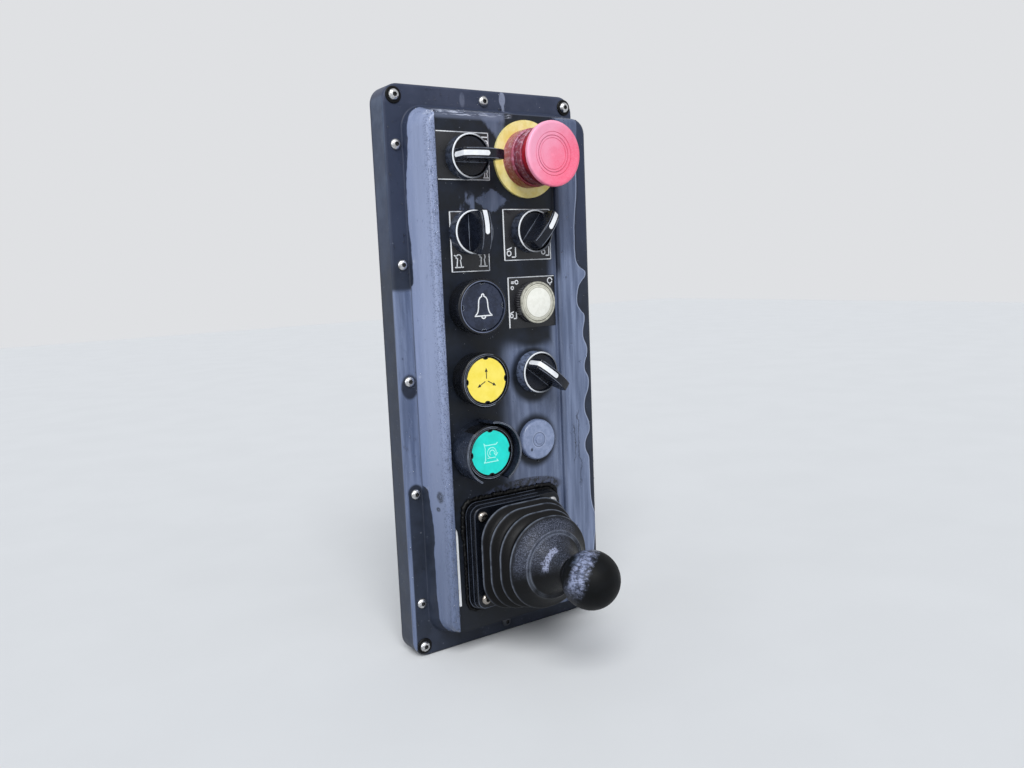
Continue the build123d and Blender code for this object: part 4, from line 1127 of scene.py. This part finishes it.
def add_frame_edges():
    """Fine light edges, painted highlights, of the gasket and of the frame's two steps, on their left and top."""
    build = Build()
    x, z = JOYSTICK
    angles = [math.radians(62 + 176 * n / 96) for n in range(97)]
    for half, corner_r, height in FRAME_EDGES:
        reach = squircle(half, corner_r)
        line = [(x + reach(angle) * math.cos(angle), z + reach(angle) * math.sin(angle)) for angle in angles]
        stroke(build, line, 0.5, FACE + height, 0.06)
    build.object("frame_edges", "edge_highlight", PANEL, "black_plastic")


def add_gasket_bead():
    """Rough bead of sealant pressed out round the joystick's frame, thickest along its top."""
    rng = random.Random(5)
    build = Build()
    x, z = JOYSTICK
    around, across = 420, 8
    path = squircle(40.0, 9.0)
    rings = []
    for n in range(around):
        angle = 2 * math.pi * n / around
        on_top = math.sin(angle) > 0.3
        size = (1.15 + 0.7 * rng.random()) * (1.25 if on_top else 0.8)
        middle = path(angle) + rng.uniform(-0.5, 0.7) + (0.6 if on_top else 0)
        ring = []
        for m in range(across):
            turn = 2 * math.pi * m / across
            out = middle + size * math.cos(turn) * rng.uniform(0.85, 1.15)
            h = FACE + 0.5 + size * 0.95 * math.sin(turn) * rng.uniform(0.85, 1.15)
            ring.append(point(x + out * math.cos(angle), z + out * math.sin(angle), h))
        rings.append(ring)
    build.skin(rings, loop=True)
    build.object("gasket_bead", "black_rubber", PANEL, "black_rubber", 70.0)


# Height up the panel and left and right edge of the white strip
WHITE_LINE = ((-102.5, -53.2, -52.9), (-106.0, -53.3, -51.4), (-110.0, -53.2, -51.0), (-160.4, -52.9, -50.6))


def add_white_line():
    """Thin white strip on the control face beside the joystick, pointed at its top."""
    build = Build()
    high, low = FACE + 0.3, FACE - 0.2
    build.skin([
        [point(x, z, h) for x, h in ((left, high), (right, high), (right, low), (left, low))]
        for z, left, right in WHITE_LINE
    ])
    build.object("white_line", "print_white", PANEL, "cream_plastic")


# Water

# Share of a drop's radius and of its height, from its foot up
DROP_ROWS = ((0.85, -0.12), (1.0, 0.02), (0.93, 0.35), (0.7, 0.72), (0.32, 0.96))
DROP_AROUND = 10
DROP_FLATNESS = 0.45
# Rows of count, x range, z range and radius range of the drops
DROPS = (
    (620, (-58.6, -53.8), (-184, 165), (0.3, 0.8)),
    (130, (-66, -58), (-184, 180), (0.2, 0.7)),
    (90, (-77, -66), (-190, 190), (0.25, 1.0)),
    (130, (-60, 10), (178.5, 184.5), (0.25, 0.9)),
    (90, (-50, 41), (-185, 186), (0.25, 1.0)),
    (90, (43, 72), (-180, 184), (0.25, 0.9)),
    (60, (-74, 74), (187, 198), (0.25, 0.9)),
)


def drop(build, centre, normal, radius, rng):
    """Standing drop: a low dome on a surface."""
    side = normal.orthogonal().normalized()
    other = normal.cross(side)
    wobble = [rng.uniform(0.85, 1.15) for _ in range(DROP_AROUND)]
    rings = []
    for share, rise in DROP_ROWS:
        ring = []
        for n, uneven in enumerate(wobble):
            angle = 2 * math.pi * n / DROP_AROUND
            out = (side * math.cos(angle) + other * math.sin(angle)) * radius * share * uneven
            ring.append(centre + out + normal * rise * radius * DROP_FLATNESS)
        rings.append(ring)
    build.skin(rings)


def add_drops():
    """Drops scattered over what faces the front."""
    rng = random.Random(3)
    tree = surface_of("panel_shell")
    build = Build()
    for count, x_range, z_range, (least, most) in DROPS:
        for _ in range(count):
            x, z = rng.uniform(*x_range), rng.uniform(*z_range)
            spot, normal, _, _ = tree.ray_cast(point(x, z, 100), -OUT)
            if spot is not None and normal.y <= -0.2:
                radius = (least + (most - least) * rng.random() ** 2.2) * MM
                drop(build, spot, normal, radius, rng)
    build.object("rain_drops", "water", PANEL, None, 80.0)


# Back

TERMINAL_X = 7.0
TERMINAL_Z = 9.0
TERMINAL_ROWS = ((2.6, 0.3), (2.6, -0.5), (2.2, -0.8), (0.3, -0.8))


def add_terminals():
    """Terminal screws of the contact blocks, two at each end of a block."""
    build = Build()
    names = [subpart["node"] for subpart in frame["record"]["subparts"]]
    for name in sorted(name for name in names if name.endswith("_contacts")):
        low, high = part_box(name)
        centre = (low + high) / 2 / MM
        back = -high.y / MM
        for x in (centre.x - TERMINAL_X, centre.x + TERMINAL_X):
            for z in (centre.z - TERMINAL_Z, centre.z + TERMINAL_Z):
                build.skin([circle(x, z, radius, back + rise, 24)[::-1] for radius, rise in TERMINAL_ROWS])
    build.object("terminal_screws", "steel", PANEL, "steel")


# Stage, camera and light

CAMERA_PLACE = (-0.34516, -0.56277, 0.07723)
CAMERA_YAW = 33.50
CAMERA_PITCH = -7.70
CAMERA_ROLL = -2.40
LENS = 31.0
FLOOR = -0.2002
FLOOR_REACH = 4.0
# Broad, even lights from the upper left, the side and the front, which fall alike on the whole floor:
# name, direction, strength, spread in degrees and colour
LIGHTS = (
    ("sky", (0.5, 0.85, -0.95), 2.6, 35, (0.97, 0.985, 1.0)),
    ("side", (1.0, 0.15, -0.25), 0.75, 45, (0.93, 0.96, 1.0)),
    ("front", (0.0, 0.6, -0.4), 0.35, 60, (0.97, 0.98, 1.0)),
)


def add_camera():
    yaw, pitch, roll = (math.radians(angle) for angle in (CAMERA_YAW, CAMERA_PITCH, CAMERA_ROLL))
    data = bpy.data.cameras.new("camera")
    data.sensor_width = 36.0
    data.lens = LENS
    camera = add_object("camera", data)
    camera.matrix_world = (
        Matrix.Translation(CAMERA_PLACE) @ Matrix.Rotation(-yaw, 4, "Z")
        @ Matrix.Rotation(math.pi / 2 + pitch, 4, "X") @ Matrix.Rotation(roll, 4, "Z")
    )
    bpy.context.scene.camera = camera


def add_lights():
    for name, direction, strength, spread, colour in LIGHTS:
        data = bpy.data.lights.new(name, "SUN")
        data.energy = strength
        data.angle = math.radians(spread)
        data.color = colour
        add_object(name, data).rotation_euler = Vector(direction).to_track_quat("-Z", "Y").to_euler()


def add_world():
    """Plain sky, pale where it is seen directly, in gloss or through water, and dimmer as a light."""
    world = bpy.data.worlds.new("world")
    world.use_nodes = True
    bpy.context.scene.world = world
    g = Nodes(world.node_tree)
    path = g.add("ShaderNodeLightPath", {}).outputs
    seen = [Value(g, path[kind]) for kind in ("Is Camera Ray", "Is Glossy Ray", "Is Transmission Ray")]
    dim = g.add("ShaderNodeBackground", {"Color": (0.62, 0.66, 0.72, 1), "Strength": 0.5}).outputs[0]
    pale = g.add("ShaderNodeBackground", {"Color": (0.74, 0.75, 0.77, 1)}).outputs[0]
    mixed = g.add("ShaderNodeMixShader", {0: reduce(or_, seen), 1: dim, 2: pale})
    g.add("ShaderNodeOutputWorld", {0: mixed.outputs[0]})


def add_floor():
    g = Graph("floor_paper")
    g.finish(g.mix(g.noise(90.0, 3).ramp(), "#dbdcdd", "#dddedf"), 0.9, Specular_IOR_Level=0.2)
    mesh = bpy.data.meshes.new("floor")
    corners = [(x * FLOOR_REACH, y * FLOOR_REACH, FLOOR) for x, y in ((-1, -1), (1, -1), (1, 1), (-1, 1))]
    mesh.from_pydata(corners, [], [(0, 1, 2, 3)])
    mesh.materials.append(materials["floor_paper"])
    add_object("floor", mesh)


def main():
    make_materials()
    dress_nodes()
    for add in (
        add_camera, add_lights, add_world, add_floor, add_screws, add_labels, add_pictograms, add_cap_marks,
        add_handle_marks, add_handle_highlights, add_rims, add_collar_highlights, add_bellows, add_frame_edges,
        add_gasket_bead, add_white_line, add_drops, add_terminals,
    ):
        add()
    bpy.context.scene.view_settings.view_transform = "Standard"


main()
